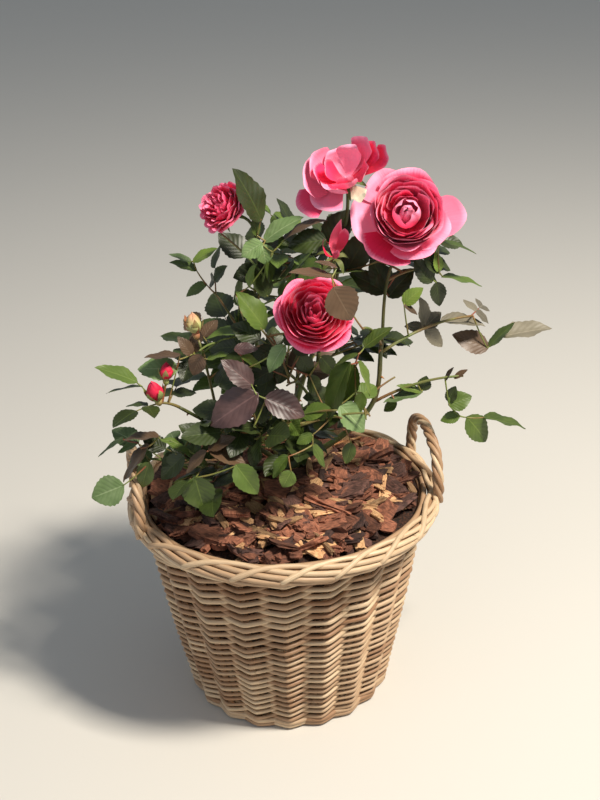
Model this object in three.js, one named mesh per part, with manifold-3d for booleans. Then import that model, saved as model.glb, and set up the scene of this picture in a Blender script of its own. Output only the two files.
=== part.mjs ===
// A potted rose bush in a wicker basket, as an assembly of separate named solids.
// Millimetres, +Z up. The origin is the centre of the basket's flat underside.
// The bush leans its tallest stems to the right (+X) and shows its fullest side to -Y.
import * as THREE from "three";
import { mergeVertices } from "three/addons/utils/BufferGeometryUtils.js";
import Module from "manifold-3d";

const wasm = await Module();
wasm.setup();

// Driving dimensions.
const GAP = 0.3; // clearance kept where two pieces meet
const FOOT_RADIUS = 108; // basket underside
const RIM_RADIUS = 147; // outside of the woven wall where the border starts
const WALL_HEIGHT = 208;
const WALL_THICKNESS = 12; // at a stake
const WALL_BULGE = 1.5; // of the wall at half its height
const WALL_FLUTE = 6.5; // how far the weave is drawn in between two stakes
const WALL_SEAT = 3; // how far the wall rises into the border, cut to the border's underside
const FLOOR_THICKNESS = 10;
const STAKES = 20; // upright stakes, each ending as one rod of the border
const BORDER = { ring: 149.5, height: 219.5, crest: 11.4, valley: 8.8, ridges: 6 }; // rolled ring of rods
const HANDLE = {
  turn: 10, halfWidth: 50, foot: 219, top: 288,
  strand: 4.6, lobe: 1.9, lobes: 3, twists: 3.2, sides: 9, steps: 28,
};
const FILL_TOP = 200; // top of the root ball
const MULCH = { radius: 133, edge: 222, dome: 16, slope: 0.02, roughness: 2.5, rings: 4, sides: 18 };
// Larger bark chips: how many, and their shortest length and what is added by chance; width in lengths.
const CHIP = { count: 22, length: 22, longer: 26, width: 0.42, thick: 5, thicker: 3, lean: 0.5, proud: 2 };
const CROWN = { x: 5, y: 22, neck: 11, neckHeight: 22, knob: 16, shoulder: 20, top: 260 }; // graft knob
const GOLDEN = THREE.MathUtils.degToRad(137.5); // turn from one leaf to the next round a twig
const LEAF_THICKNESS = 1.2;
const RIB_HALF_WIDTH = 1.3;
// A compound leaf, in lengths of a full leaflet: the bare stalk, the step from pair to pair, the first
// pair's length and how much longer each next one is, the end leaflet, and a leaflet's width and belly.
const LEAF = { petiole: 0.5, step: 0.5, first: 0.8, longer: 0.1, end: 1.05, width: 0.7, belly: 0.45 };
const LEAFLET_ANGLE = { first: 64, closing: 10 }; // degrees off the rib, closing up from pair to pair
const DROOP = 0.16; // how far a leaf's tip hangs under its own line, in lengths of the leaf
const SHOOT_RADIUS = { stem: 1.9, twig: 1.5, taper: 0.4 };
// How a mass grows: bow of its stem and twigs, where twigs leave the stem, their length in leaflets and
// their leaves, where the leaves for the outline leave it, and where the others start.
const GROWTH = {
  stemBow: 0.14, twigBow: 0.1, twigFrom: 0.3, twigRange: 0.4, twigLength: 0.9, twigLonger: 0.5,
  twigLeaves: 2, outerFrom: 0.8, outerLargest: 1.15, outerLong: 2.3, firstLeaf: 0.15, lastLeaf: 0.98,
  least: 0.9, larger: 0.25, tilt: 0.5, sink: 0.3, rise: 0.7, tipAlong: 1.4, sideAlong: 0.4,
};
// What changes from one place tried for a leaf to the next.
const NEXT = { turn: 0.9, rise: 0.06, rises: 5, smaller: 0.02 };
const SEED = 1300; // first mass's stream of chance; each later mass takes the next one
const TRIES = 14; // places tried for a leaf before it is left out
const LEAF_FOOT = 9; // of a leafstalk, which may touch the leaves beside it on its own twig
const SPREAD = 104; // furthest a leaflet's tip may stand from the stem of its mass
const NEARER = 10; // how much nearer another mass's stem may be to a leaflet than its own
const SIDES = { left: -188, right: 282 }; // the furthest leaf tips
const CROWDING = 0.6; // half the space kept between two leaves
const CLEARANCE = 3; // kept between a leaf and the limbs it passes
const BUD = { width: 0.62, pedicel: 1.2, from: 0.85 };

// Canes: the points each one follows from the crown, and its radius at foot and tip.
const CANES = {
  cane_right: {
    foot: 5.2, tip: 3.3,
    path: [[14, 17, 250], [54, 9, 275], [93, 1, 322], [101, 0, 388]],
  },
  cane_centre: {
    foot: 4.6, tip: 3,
    path: [[9, 10, 254], [22, -6, 300], [34, -24, 352], [39, -36, 394]],
  },
  cane_top: {
    foot: 5, tip: 3,
    path: [[6, 27, 259], [19, 31, 320], [42, 28, 388], [56, 20, 438]],
  },
  cane_left_top: {
    foot: 4.6, tip: 2.8,
    path: [[-3, 26, 256], [-15, 26, 320], [-22, 17, 388], [-21, 9, 434]],
  },
  cane_left: {
    foot: 4, tip: 2.4,
    path: [[-6, 18, 250], [-40, 3, 284], [-74, -16, 314], [-98, -28, 336]],
  },
  cane_left_low: {
    foot: 3.6, tip: 2.4,
    path: [[-8, 14, 243], [-45, -13, 257], [-84, -38, 268]],
  },
  cane_back: {
    foot: 4.6, tip: 2.8,
    path: [[9, 36, 248], [15, 61, 288], [20, 84, 344]],
  },
  cane_front: {
    foot: 3.8, tip: 2.4,
    path: [[1, 9, 247], [-2, -18, 271], [-8, -44, 296]],
  },
};

// Blooms: centre, radius, the way each one faces, petals in a whorl, the cane that its stalk leaves and
// how far along it, and the points the stalk follows.
const BLOOMS = {
  bloom_upper_right: {
    centre: [124, 0, 515], radius: 48, face: [-0.05, -0.85, 0.52], petals: 5,
    cane: "cane_right", at: 1, stalk: [[105, 4, 440], [116, 14, 478]], foot: 2.9,
  },
  bloom_centre: {
    centre: [35.5, -70, 446.8], radius: 36, face: [0.05, -0.8, 0.6], petals: 5,
    cane: "cane_centre", at: 1, stalk: [[38, -45, 417]], foot: 2.7,
  },
  bloom_left: {
    centre: [-47, 0, 527], radius: 24, face: [-0.8, -0.3, 0.5], petals: 4,
    cane: "cane_left_top", at: 1, stalk: [[-17, 6, 480], [-22, 5, 510]], foot: 2.4,
  },
  bloom_top: {
    centre: [66, 10, 554], radius: 36, face: [-0.35, -0.55, 0.75], petals: 5,
    cane: "cane_top", at: 1, stalk: [[66, 28, 485], [70, 20, 520]], foot: 2.7,
  },
  bloom_inner: {
    centre: [57, -8, 484], radius: 20, face: [0.2, -0.5, 0.85], petals: 4,
    cane: "cane_top", at: 0.92, stalk: [[53, 7, 442], [56, 0, 458]], foot: 2.2,
  },
};

// Buds on the left shoots: centre, length and the mass that carries them.
const BUDS = [
  { mass: "foliage_left_tip", centre: [-119, -42, 361], length: 27 },
  { mass: "foliage_left_tip", centre: [-107, -32, 377], length: 24 },
  { mass: "foliage_left_mid", centre: [-80, -11, 417], length: 26 },
];

// Masses of foliage: the limb each stem leaves and how far along it, where the stem ends, how many
// leaves the stem carries, how many side twigs, leaflet length, and tips that its outer leaves reach.
const MASSES = {
  foliage_right_high: {
    limb: "cane_right", at: 0.93, end: [196, 44, 394], leaves: 3, twigs: 1, leaflet: 42, spread: 62,
    reach: [[280, 60, 375], [236, 30, 364]],
  },
  foliage_right_low: {
    limb: "cane_right", at: 0.62, end: [182, 0, 348], leaves: 2, twigs: 1, leaflet: 40, spread: 62,
    reach: [[248, 0, 292], [204, -6, 290]],
  },
  foliage_upper_right: {
    limb: "bloom_upper_right", at: 0.5, end: [142, 16, 456], leaves: 2, twigs: 1, leaflet: 42,
    reach: [[177, 10, 486], [181, 10, 444]],
  },
  foliage_top: {
    limb: "cane_left_top", at: 0.9, end: [-2, -6, 484], leaves: 4, twigs: 1, leaflet: 46,
    reach: [[-29, 0, 559], [44, -2, 506]],
  },
  foliage_back_left: {
    limb: "cane_left_top", at: 0.5, end: [-62, 40, 428], leaves: 3, twigs: 1, leaflet: 36,
    reach: [[-100, 40, 462]],
  },
  foliage_collar: {
    limb: "cane_right", at: 0.98, end: [78, -74, 432], leaves: 2, twigs: 0, leaflet: 38,
    reach: [[30, -112, 474], [98, -78, 404]],
  },
  foliage_centre: {
    limb: "cane_centre", at: 0.6, end: [-4, -56, 392], leaves: 3, twigs: 2, leaflet: 48,
    reach: [[-46, -66, 410]],
  },
  foliage_centre_right: {
    limb: "cane_right", at: 0.45, end: [72, -40, 346], leaves: 3, twigs: 1, leaflet: 48,
    reach: [[90, -74, 290], [40, -62, 376]],
  },
  foliage_heart: {
    limb: "cane_centre", at: 0.3, end: [22, -56, 308], leaves: 3, twigs: 0, leaflet: 46,
    reach: [[36, -92, 291]],
  },
  foliage_left_front: {
    limb: "cane_left_low", at: 0.6, end: [-74, -70, 288], leaves: 3, twigs: 0, leaflet: 46,
    reach: [[-96, -112, 270], [-38, -122, 284]],
  },
  foliage_front_low: {
    limb: "cane_front", at: 1, end: [-24, -72, 322], leaves: 3, twigs: 1, leaflet: 50,
    reach: [[-64, -92, 352], [14, -112, 340], [-38, -104, 280]],
  },
  foliage_left_inner: {
    limb: "cane_left", at: 0.3, end: [-52, -34, 322], leaves: 3, twigs: 1, leaflet: 46,
    reach: [[-86, -78, 306]],
  },
  foliage_left_mid: {
    limb: "cane_left", at: 0.6, end: [-76, -14, 400], leaves: 3, twigs: 1, leaflet: 44,
    reach: [[-26, -34, 432]],
  },
  foliage_left_tip: {
    limb: "cane_left", at: 1, end: [-116, -38, 346], leaves: 2, twigs: 1, leaflet: 42,
    reach: [[-171, -40, 383], [-142, -36, 398]],
  },
  foliage_left_low: {
    limb: "cane_left_low", at: 1, end: [-128, -54, 294], leaves: 3, twigs: 1, leaflet: 42,
    reach: [[-186, -60, 268], [-176, -40, 308], [-84, -98, 274]],
  },
  foliage_back_high: {
    limb: "cane_back", at: 1, end: [30, 92, 428], leaves: 3, twigs: 1, leaflet: 46,
    reach: [[44, 124, 466]],
  },
  foliage_back_low: {
    limb: "cane_back", at: 0.45, end: [-52, 100, 330], leaves: 3, twigs: 1, leaflet: 46,
    reach: [[-106, 120, 316]],
  },
  foliage_back_right: {
    limb: "cane_back", at: 0.7, end: [94, 84, 358], leaves: 3, twigs: 1, leaflet: 46,
    reach: [[144, 106, 346]],
  },
  foliage_top_back: {
    limb: "cane_top", at: 0.75, end: [26, 62, 474], leaves: 3, twigs: 1, leaflet: 42,
    reach: [[4, 72, 514]],
  },
};

// Looks of each kind of piece, for a viewer that shows this model by itself.
const FINISH = {
  willow: { color: 0xd9b88a, roughness: 0.6, metalness: 0 },
  bark: { color: 0x8a4b2f, roughness: 0.9, metalness: 0 },
  compost: { color: 0x3a2a20, roughness: 1, metalness: 0 },
  cane: { color: 0x5f7040, roughness: 0.6, metalness: 0 },
  leaf: { color: 0x46642c, roughness: 0.5, metalness: 0 },
  petal: { color: 0xe8416f, roughness: 0.6, metalness: 0 },
};

const rose = new THREE.Group();
const up = new THREE.Vector3(0, 0, 1);
const vec = (p) => new THREE.Vector3(...p);

// A repeatable stream of numbers from 0 to 1.
function stream(seed) {
  let state = seed >>> 0;
  return () => {
    state = (Math.imul(state, 1664525) + 1013904223) >>> 0;
    return state / 4294967296;
  };
}

// A closed geometry as a solid; a profile drawn the other way round is turned to face out.
function solid(geometry) {
  const bare = new THREE.BufferGeometry();
  bare.setAttribute("position", geometry.getAttribute("position").clone());
  bare.setIndex(geometry.getIndex());
  const merged = mergeVertices(bare, 1e-3);
  const position = merged.getAttribute("position");
  const faces = [];
  const index = merged.index.array;
  for (let i = 0; i < index.length; i += 3) {
    const [a, b, c] = [index[i], index[i + 1], index[i + 2]];
    if (a !== b && b !== c && c !== a) faces.push(a, b, c);
  }
  const build = (triVerts) =>
    new wasm.Manifold(new wasm.Mesh({ numProp: 3, vertProperties: position.array, triVerts }));
  const made = build(new Uint32Array(faces));
  if (made.volume() >= 0) return made;
  return build(new Uint32Array(faces.reverse()));
}

// A list of solids joined pairwise into one.
function join(list) {
  if (list.length === 1) return list[0];
  const half = Math.ceil(list.length / 2);
  return join(list.slice(0, half)).add(join(list.slice(half)));
}

// The largest body of a solid, without the scraps a cut leaves.
function largest(made) {
  return made.decompose().reduce((a, b) => (b.volume() > a.volume() ? b : a));
}

// A solid back as a geometry.
function geometryOf(made) {
  const mesh = made.getMesh();
  const geometry = new THREE.BufferGeometry();
  geometry.setAttribute("position", new THREE.BufferAttribute(mesh.vertProperties, 3));
  geometry.setIndex(new THREE.BufferAttribute(mesh.triVerts, 1));
  geometry.computeVertexNormals();
  return geometry;
}

// Adds one named piece to the rose.
function piece(name, made, finish) {
  const body = largest(made).simplify(0.02);
  const mesh = new THREE.Mesh(geometryOf(body), new THREE.MeshStandardMaterial(FINISH[finish]));
  mesh.name = name;
  rose.add(mesh);
  return body;
}

// A lathe turned about +Z from [radius, height] points.
function turned(profile, segments, x = 0, y = 0) {
  const points = profile.map(([r, z]) => new THREE.Vector2(r, z));
  const geometry = new THREE.LatheGeometry(points, segments).rotateX(Math.PI / 2);
  return geometry.translate(x, y, 0);
}

// A cylinder of unit height bent along a curve: radiusAt(t, angle) gives its section as it goes.
function bent(curve, radiusAt, sides, steps) {
  const geometry = new THREE.CylinderGeometry(1, 1, 1, sides, steps);
  const frames = curve.computeFrenetFrames(steps, false);
  const position = geometry.getAttribute("position");
  const vertex = new THREE.Vector3();
  for (let i = 0; i < position.count; i++) {
    vertex.fromBufferAttribute(position, i);
    const t = THREE.MathUtils.clamp(vertex.y + 0.5, 0, 1);
    const ring = Math.round(t * steps);
    const spread = Math.hypot(vertex.x, vertex.z);
    const angle = Math.atan2(vertex.z, vertex.x);
    const radius = spread * radiusAt(t, angle);
    const centre = curve.getPointAt(t);
    centre.addScaledVector(frames.normals[ring], Math.cos(angle) * radius);
    centre.addScaledVector(frames.binormals[ring], Math.sin(angle) * radius);
    position.setXYZ(i, centre.x, centre.y, centre.z);
  }
  return geometry;
}

// A tapering limb through a list of points.
function limb(points, foot, tip, sides = 6, steps = 5) {
  const curve = new THREE.CatmullRomCurve3(points.map(vec), false, "centripetal");
  const made = solid(bent(curve, (t) => THREE.MathUtils.lerp(foot, tip, t), sides, steps));
  return { curve, made, radiusAt: (t) => THREE.MathUtils.lerp(foot, tip, t) };
}

// Radius of the outside of the woven wall at a height.
const wallRadius = (z) => THREE.MathUtils.lerp(FOOT_RADIUS, RIM_RADIUS, z / WALL_HEIGHT);

// The woven wall with its floor, hollow inside: it stands out at each stake and is drawn in between them.
function basketWall() {
  const inside = (z) => wallRadius(z) - WALL_THICKNESS;
  const top = WALL_HEIGHT + WALL_SEAT;
  const profile = [
    [0, 0],
    [FOOT_RADIUS, 0],
    [wallRadius(WALL_HEIGHT / 2) + WALL_BULGE, WALL_HEIGHT / 2],
    [wallRadius(top), top],
    [inside(top), top],
    [inside(FLOOR_THICKNESS), FLOOR_THICKNESS],
    [0, FLOOR_THICKNESS],
  ];
  const geometry = mergeVertices(bareGeometry(turned(profile, 2 * STAKES)), 1e-3);
  const position = geometry.getAttribute("position");
  for (let i = 0; i < position.count; i++) {
    const [x, y, z] = [position.getX(i), position.getY(i), position.getZ(i)];
    const radius = Math.hypot(x, y);
    const atStake = Math.round((Math.atan2(y, x) * STAKES) / Math.PI) % 2 === 0;
    if (atStake || radius < inside(z) + 1) continue;
    const drawnIn = (radius - WALL_FLUTE) / radius;
    position.setXY(i, x * drawnIn, y * drawnIn);
  }
  return solid(geometry).subtract(border(GAP));
}

// The rolled border: a ring whose ridges, one for each stake's rod, climb over it as they go round.
function border(grow = 0) {
  const steps = 2 * STAKES;
  const ring = new THREE.TorusGeometry(BORDER.ring, 1, 2 * BORDER.ridges, steps);
  const position = ring.getAttribute("position");
  const stride = steps + 1;
  for (let i = 0; i < position.count; i++) {
    const ridge = Math.floor(i / stride);
    const step = i % stride;
    const around = (2 * Math.PI * step) / steps;
    const roll = (Math.PI * ridge) / BORDER.ridges - (around * STAKES) / BORDER.ridges;
    const radius = grow + (ridge % 2 ? BORDER.valley : BORDER.crest);
    const out = BORDER.ring + radius * Math.cos(roll);
    const height = BORDER.height + radius * Math.sin(roll);
    position.setXYZ(i, out * Math.cos(around), out * Math.sin(around), height);
  }
  return solid(ring);
}

// A handle: an arch of rope-twisted rods standing in the border, across the radius at an angle.
function handle(degrees, grow = 0) {
  const arch = [[-1, 0], [-1.02, 0.36], [-0.8, 0.78], [0, 1], [0.8, 0.78], [1.02, 0.36], [1, 0]];
  const angle = THREE.MathUtils.degToRad(degrees);
  const out = new THREE.Vector3(Math.cos(angle), Math.sin(angle), 0);
  const along = new THREE.Vector3(-Math.sin(angle), Math.cos(angle), 0);
  const curve = new THREE.CatmullRomCurve3(
    arch.map(([across, rise]) =>
      new THREE.Vector3()
        .addScaledVector(out, BORDER.ring + 1)
        .addScaledVector(along, across * HANDLE.halfWidth)
        .setZ(THREE.MathUtils.lerp(HANDLE.foot, HANDLE.top - HANDLE.strand - HANDLE.lobe, rise)),
    ),
    false,
    "centripetal",
  );
  const twist = 2 * Math.PI * HANDLE.twists;
  const section = (t, angle) =>
    grow + HANDLE.strand + HANDLE.lobe * Math.cos(HANDLE.lobes * (angle + twist * t));
  return solid(bent(curve, section, HANDLE.sides, HANDLE.steps));
}

// The root ball inside the basket, up to the underside of the mulch.
function rootBall() {
  const inside = (z) => wallRadius(z) - WALL_THICKNESS - GAP;
  const low = FLOOR_THICKNESS + GAP;
  const profile = [[0, low], [inside(low), low], [inside(FILL_TOP), FILL_TOP], [0, FILL_TOP]];
  return solid(turned(profile, 2 * STAKES));
}

// Height of the mulch at a point: domed, and a little deeper at the back right.
function mulchTop(x, y) {
  const spread = Math.hypot(x, y) / MULCH.radius;
  return MULCH.edge + MULCH.dome * (1 - spread * spread) + MULCH.slope * (x + y);
}

// One larger chip lying in the mulch, the next one on a spiral out from the middle.
function barkChip(number, rand) {
  const length = CHIP.length + CHIP.longer * rand();
  const chip = new THREE.BoxGeometry(length, length * CHIP.width, CHIP.thick + CHIP.thicker * rand());
  const radius = (MULCH.radius - 0.55 * length) * Math.sqrt((number + 0.5) / CHIP.count);
  const [x, y] = [radius * Math.cos(number * GOLDEN), radius * Math.sin(number * GOLDEN)];
  const lean = () => CHIP.lean * (rand() - 0.5);
  const turn = new THREE.Euler(lean(), lean(), 2 * Math.PI * rand());
  chip.applyMatrix4(new THREE.Matrix4().makeRotationFromEuler(turn));
  return solid(chip.translate(x, y, mulchTop(x, y) + CHIP.proud));
}

// The layer of bark mulch: an uneven dome with larger chips lying in it, open round the stem.
function mulch() {
  const rand = stream(41);
  const low = FILL_TOP + GAP;
  const profile = [[0, low], [MULCH.radius, low]];
  for (let k = MULCH.rings; k >= 0; k--) profile.push([(MULCH.radius * k) / MULCH.rings, MULCH.edge]);
  const geometry = mergeVertices(bareGeometry(turned(profile, MULCH.sides)), 1e-3);
  const position = geometry.getAttribute("position");
  for (let i = 0; i < position.count; i++) {
    if (position.getZ(i) < MULCH.edge - 1) continue;
    const lift = MULCH.roughness * (2 * rand() - 1);
    position.setZ(i, mulchTop(position.getX(i), position.getY(i)) + lift);
  }
  const chips = Array.from({ length: CHIP.count }, (_, number) => barkChip(number, rand));
  const width = CROWN.knob + GAP;
  const hole = turned([[0, 0], [width, 0], [width, CROWN.top], [0, CROWN.top]], 12, CROWN.x, CROWN.y);
  return solid(geometry).add(join(chips)).subtract(solid(hole));
}

// Only the positions and faces of a geometry, so that its corners can be merged.
function bareGeometry(geometry) {
  const bare = new THREE.BufferGeometry();
  bare.setAttribute("position", geometry.getAttribute("position"));
  bare.setIndex(geometry.getIndex());
  return bare;
}

// The short stem from the root ball up to the knob that the canes leave.
function crown(grow = 0) {
  const low = FILL_TOP + GAP;
  const profile = [
    [0, low],
    [CROWN.neck + grow, low],
    [CROWN.neck + grow, low + CROWN.neckHeight],
    [CROWN.knob + grow - 1, CROWN.top - CROWN.shoulder],
    [CROWN.knob + grow - 2, CROWN.top - 0.4 * CROWN.shoulder],
    [CROWN.knob / 2 + grow, CROWN.top + grow],
    [0, CROWN.top + grow],
  ];
  return solid(turned(profile, 12, CROWN.x, CROWN.y));
}

// A frame at a point: X along the direction, Z as near the normal as it can be.
function frameAt(origin, direction, normal) {
  const x = direction.clone().normalize();
  const y = normal.clone().cross(x).normalize();
  const z = x.clone().cross(y);
  return new THREE.Matrix4().makeBasis(x, y, z).setPosition(origin);
}

// The leaflets of one leaf in its own plane: foot along the rib, angle off it and length, end one last.
function leafletsOf(leaf) {
  const pairs = Array.from({ length: leaf.pairs }, (_, k) => ({
    foot: leaf.stalk + k * LEAF.step * leaf.size,
    angle: THREE.MathUtils.degToRad(LEAFLET_ANGLE.first - LEAFLET_ANGLE.closing * k),
    length: leaf.size * (LEAF.first + LEAF.longer * k),
  }));
  const foot = leaf.stalk + leaf.pairs * LEAF.step * leaf.size;
  return [...pairs, { foot, angle: 0, length: leaf.size * LEAF.end }];
}

// The widest point of one side of a leaflet.
function shoulder({ foot, angle, length }, side) {
  const half = 0.5 * LEAF.width * length * side;
  const along = LEAF.belly * length;
  return [
    foot + along * Math.cos(angle) + half * Math.sin(angle),
    along * Math.sin(angle) - half * Math.cos(angle),
  ];
}

// A leaf as one thin blade: rib and leaflets cut in one outline, drooping towards its tips.
// from leaves off the foot of the leafstalk, and grow thickens the blade.
function leafBlade(leaf, from = 0, grow = 0) {
  const leaflets = leafletsOf(leaf);
  const end = leaflets.pop();
  const edge = [[from, RIB_HALF_WIDTH]];
  for (const one of leaflets) {
    const tip = [one.foot + one.length * Math.cos(one.angle), one.length * Math.sin(one.angle)];
    edge.push([one.foot - RIB_HALF_WIDTH, RIB_HALF_WIDTH], shoulder(one, -1), tip);
    edge.push(shoulder(one, 1), [one.foot + RIB_HALF_WIDTH, RIB_HALF_WIDTH]);
  }
  edge.push([end.foot, RIB_HALF_WIDTH], shoulder(end, -1));
  const other = edge.map(([x, y]) => [x, -y]).reverse();
  const outline = [...edge, [end.foot + end.length, 0], ...other].map(([x, y]) => new THREE.Vector2(x, y));
  const depth = LEAF_THICKNESS + 2 * grow;
  const flat = new THREE.ExtrudeGeometry(new THREE.Shape(outline), { depth, bevelEnabled: false });
  const blade = mergeVertices(bareGeometry(flat), 1e-3);
  const position = blade.getAttribute("position");
  const reach = end.foot + end.length;
  for (let i = 0; i < position.count; i++) {
    const [x, y] = [position.getX(i), position.getY(i)];
    const drop = (leaf.droop * (x * x + y * y)) / reach;
    position.setZ(i, position.getZ(i) - depth / 2 - drop);
  }
  return solid(blade.applyMatrix4(frameAt(leaf.base, leaf.direction, leaf.normal)));
}

// A point along each leaflet of a leaf: its middle at a share of 0.5, its tip at 1.
function pointsOf(leaf, share) {
  const across = leaf.normal.clone().cross(leaf.direction).normalize();
  return leafletsOf(leaf).flatMap(({ foot, angle, length }) =>
    (angle ? [-1, 1] : [0]).map((side) =>
      leaf.base.clone()
        .addScaledVector(leaf.direction, foot + share * length * Math.cos(angle))
        .addScaledVector(across, side * share * length * Math.sin(angle)),
    ),
  );
}

// A leaf from a point on its twig, its blade turned out and up to the light. Its stalk is drawn out where
// the leaf has a total length to reach.
function makeLeaf({ base, direction, size, pairs, tilt, total = 0, droop = DROOP }) {
  const unit = direction.clone().normalize();
  const normal = new THREE.Vector3(base.x - CROWN.x, base.y - CROWN.y, 0).normalize().multiplyScalar(0.6);
  normal.add(tilt).add(up);
  normal.addScaledVector(unit, -normal.dot(unit)).normalize();
  const bare = size * (LEAF.petiole + pairs * LEAF.step + LEAF.end);
  const stalk = size * LEAF.petiole + Math.max(0, total - bare);
  return { base, direction: unit, normal, size, pairs, stalk, droop };
}

// A stem or a twig: a curve that bows upward.
function bowed(start, end, bow) {
  const middle = start.clone().lerp(end, 0.5).addScaledVector(up, bow * start.distanceTo(end));
  return new THREE.QuadraticBezierCurve3(start, middle, end);
}

// Distance from a point to the stem of a mass, which is taken as straight.
function distanceToStem(point, stem) {
  const line = new THREE.Line3(stem.start, stem.end);
  return line.closestPointToPoint(point, true, new THREE.Vector3()).distanceTo(point);
}

// Where the stem of a mass starts: on past the tip of the limb that carries it, or inside its side.
function seatOf(mass, limbs) {
  const carrier = limbs[mass.limb];
  const onAxis = carrier.curve.getPointAt(mass.at);
  if (mass.at === 1) return onAxis.addScaledVector(carrier.curve.getTangentAt(1), GAP);
  const towards = vec(mass.end).sub(onAxis).normalize();
  return onAxis.addScaledVector(towards, carrier.radiusAt(mass.at) * 0.5);
}

// The stem of a mass and the twigs that leave it, with how many leaves each carries.
function shootsOf(mass, start, rand) {
  const stem = bowed(start, vec(mass.end), GROWTH.stemBow);
  const shoots = [{ curve: stem, leaves: mass.leaves }];
  for (let k = 0; k < mass.twigs; k++) {
    const from = stem.getPointAt(GROWTH.twigFrom + GROWTH.twigRange * rand());
    const turn = k * GOLDEN + 2 * Math.PI * rand();
    const aside = new THREE.Vector3(Math.cos(turn), Math.sin(turn), 0.2 + 0.8 * rand()).normalize();
    const length = mass.leaflet * (GROWTH.twigLength + GROWTH.twigLonger * rand());
    const to = from.clone().addScaledVector(aside, length);
    shoots.push({ curve: bowed(from, to, GROWTH.twigBow), leaves: GROWTH.twigLeaves });
  }
  return shoots;
}

// The leaf that reaches out to one tip of the crown's outline.
function outerLeaf(mass, stem, point) {
  const tip = vec(point);
  const base = stem.getPointAt(GROWTH.outerFrom);
  const total = base.distanceTo(tip);
  const pairs = total > GROWTH.outerLong * mass.leaflet ? 2 : 1;
  const bare = LEAF.petiole + pairs * LEAF.step + LEAF.end;
  const size = Math.min(mass.leaflet * GROWTH.outerLargest, total / bare);
  const tilt = new THREE.Vector3(0, -0.5, 0);
  return makeLeaf({ base, direction: tip.sub(base), size, pairs, tilt, total, droop: 0 });
}

// The leaves a mass tries to grow, each with the places it may take: those to its outer tips first,
// then those round its stem and its twigs.
function growth(mass, seed, start) {
  const rand = stream(seed);
  const swing = () => GROWTH.tilt * (2 * rand() - 1);
  const shoots = shootsOf(mass, start, rand);
  const leaves = mass.reach.map((point) => ({
    outer: true, shoot: 0, tries: [outerLeaf(mass, shoots[0].curve, point)],
  }));
  shoots.forEach((shoot, number) => {
    const turn = 2 * Math.PI * rand();
    for (let i = 0; i < shoot.leaves; i++) {
      const share = (i + 1) / shoot.leaves;
      const base = shoot.curve.getPointAt(THREE.MathUtils.lerp(GROWTH.firstLeaf, GROWTH.lastLeaf, share));
      const along = shoot.curve.getTangentAt(share);
      const size = mass.leaflet * (GROWTH.least + GROWTH.larger * rand());
      const tilt = new THREE.Vector3(swing(), swing(), 0.5 * swing());
      const rise = GROWTH.rise * rand() - GROWTH.sink;
      const tries = Array.from({ length: TRIES }, (_, k) => {
        const angle = turn + i * GOLDEN + k * NEXT.turn;
        const climb = rise + NEXT.rise * (k % NEXT.rises);
        const aside = new THREE.Vector3(Math.cos(angle), Math.sin(angle), climb);
        const direction = aside.addScaledVector(along, share === 1 ? GROWTH.tipAlong : GROWTH.sideAlong);
        const pairs = k < TRIES / 2 ? 2 : 1;
        return makeLeaf({ base, direction, size: size * (1 - NEXT.smaller * k), pairs, tilt });
      });
      leaves.push({ outer: false, shoot: number, tries });
    }
  });
  return { shoots, leaves };
}

// Whether a leaf keeps within its mass's reach, and nearer its own stem than any other, give or take.
function keepsToItsSpace(leaf, name, stems) {
  const spread = MASSES[name].spread ?? SPREAD;
  const own = stems[name];
  const inReach = (tip) => distanceToStem(tip, own) < spread && tip.x > SIDES.left && tip.x < SIDES.right;
  const isNearest = (point) =>
    Object.values(stems).every((other) => distanceToStem(point, other) > distanceToStem(point, own) - NEARER);
  return pointsOf(leaf, 1).every(inReach) && pointsOf(leaf, 0.5).every(isNearest);
}

// All the masses of foliage. Their stems, twigs and buds come first, then the leaves that reach the
// crown's outline, then those that fill it; a twig or leaf that would touch anything is left out.
function foliage(stems, solids, clearing) {
  const things = solids.map((made) => ({ made }));
  const touches = (made, counts) =>
    things.some((thing) => counts(thing) && !made.intersect(thing.made).isEmpty());
  const masses = Object.keys(MASSES).map((name, i) => {
    const mass = { name, parts: [], leaflets: 0, ...growth(MASSES[name], SEED + i, stems[name].start) };
    mass.shoots = mass.shoots.map(({ curve }, k) => {
      const radiusAt = (t) => (k ? SHOOT_RADIUS.twig : SHOOT_RADIUS.stem) - SHOOT_RADIUS.taper * t;
      const twig = solid(bent(curve, radiusAt, k ? 3 : 4, 3)).subtract(clearing);
      if (k && touches(twig, (thing) => thing.owner !== name)) return false;
      things.push({ made: twig, owner: name, shoot: true });
      mass.parts.push(twig);
      return curve;
    });
    return mass;
  });
  for (const { mass: name, ...bud } of BUDS) {
    const mass = masses.find((one) => one.name === name);
    const [egg, pedicel] = budSolids(bud, mass.shoots[0].getPointAt(BUD.from));
    mass.parts.push(egg, pedicel);
    things.push({ made: egg, owner: name }, { made: pedicel, owner: name, shoot: true });
  }
  const fits = (leaf, name) =>
    !touches(leafBlade(leaf, 0, CROWDING), (thing) => thing.owner !== name) &&
    !touches(leafBlade(leaf, LEAF_FOOT, CROWDING), (thing) => thing.owner === name && !thing.shoot);
  for (const outer of [true, false]) {
    for (const mass of masses) {
      for (const { shoot, tries } of mass.leaves.filter((leaf) => leaf.outer === outer)) {
        if (!mass.shoots[shoot]) continue;
        const inSpace = tries.filter((leaf) => outer || keepsToItsSpace(leaf, mass.name, stems));
        const leaf = inSpace.find((one) => fits(one, mass.name));
        if (!leaf) continue;
        mass.parts.push(leafBlade(leaf));
        things.push({ made: leafBlade(leaf, LEAF_FOOT, CROWDING), owner: mass.name });
        mass.leaflets += 2 * leaf.pairs + 1;
      }
    }
  }
  return masses;
}

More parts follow.
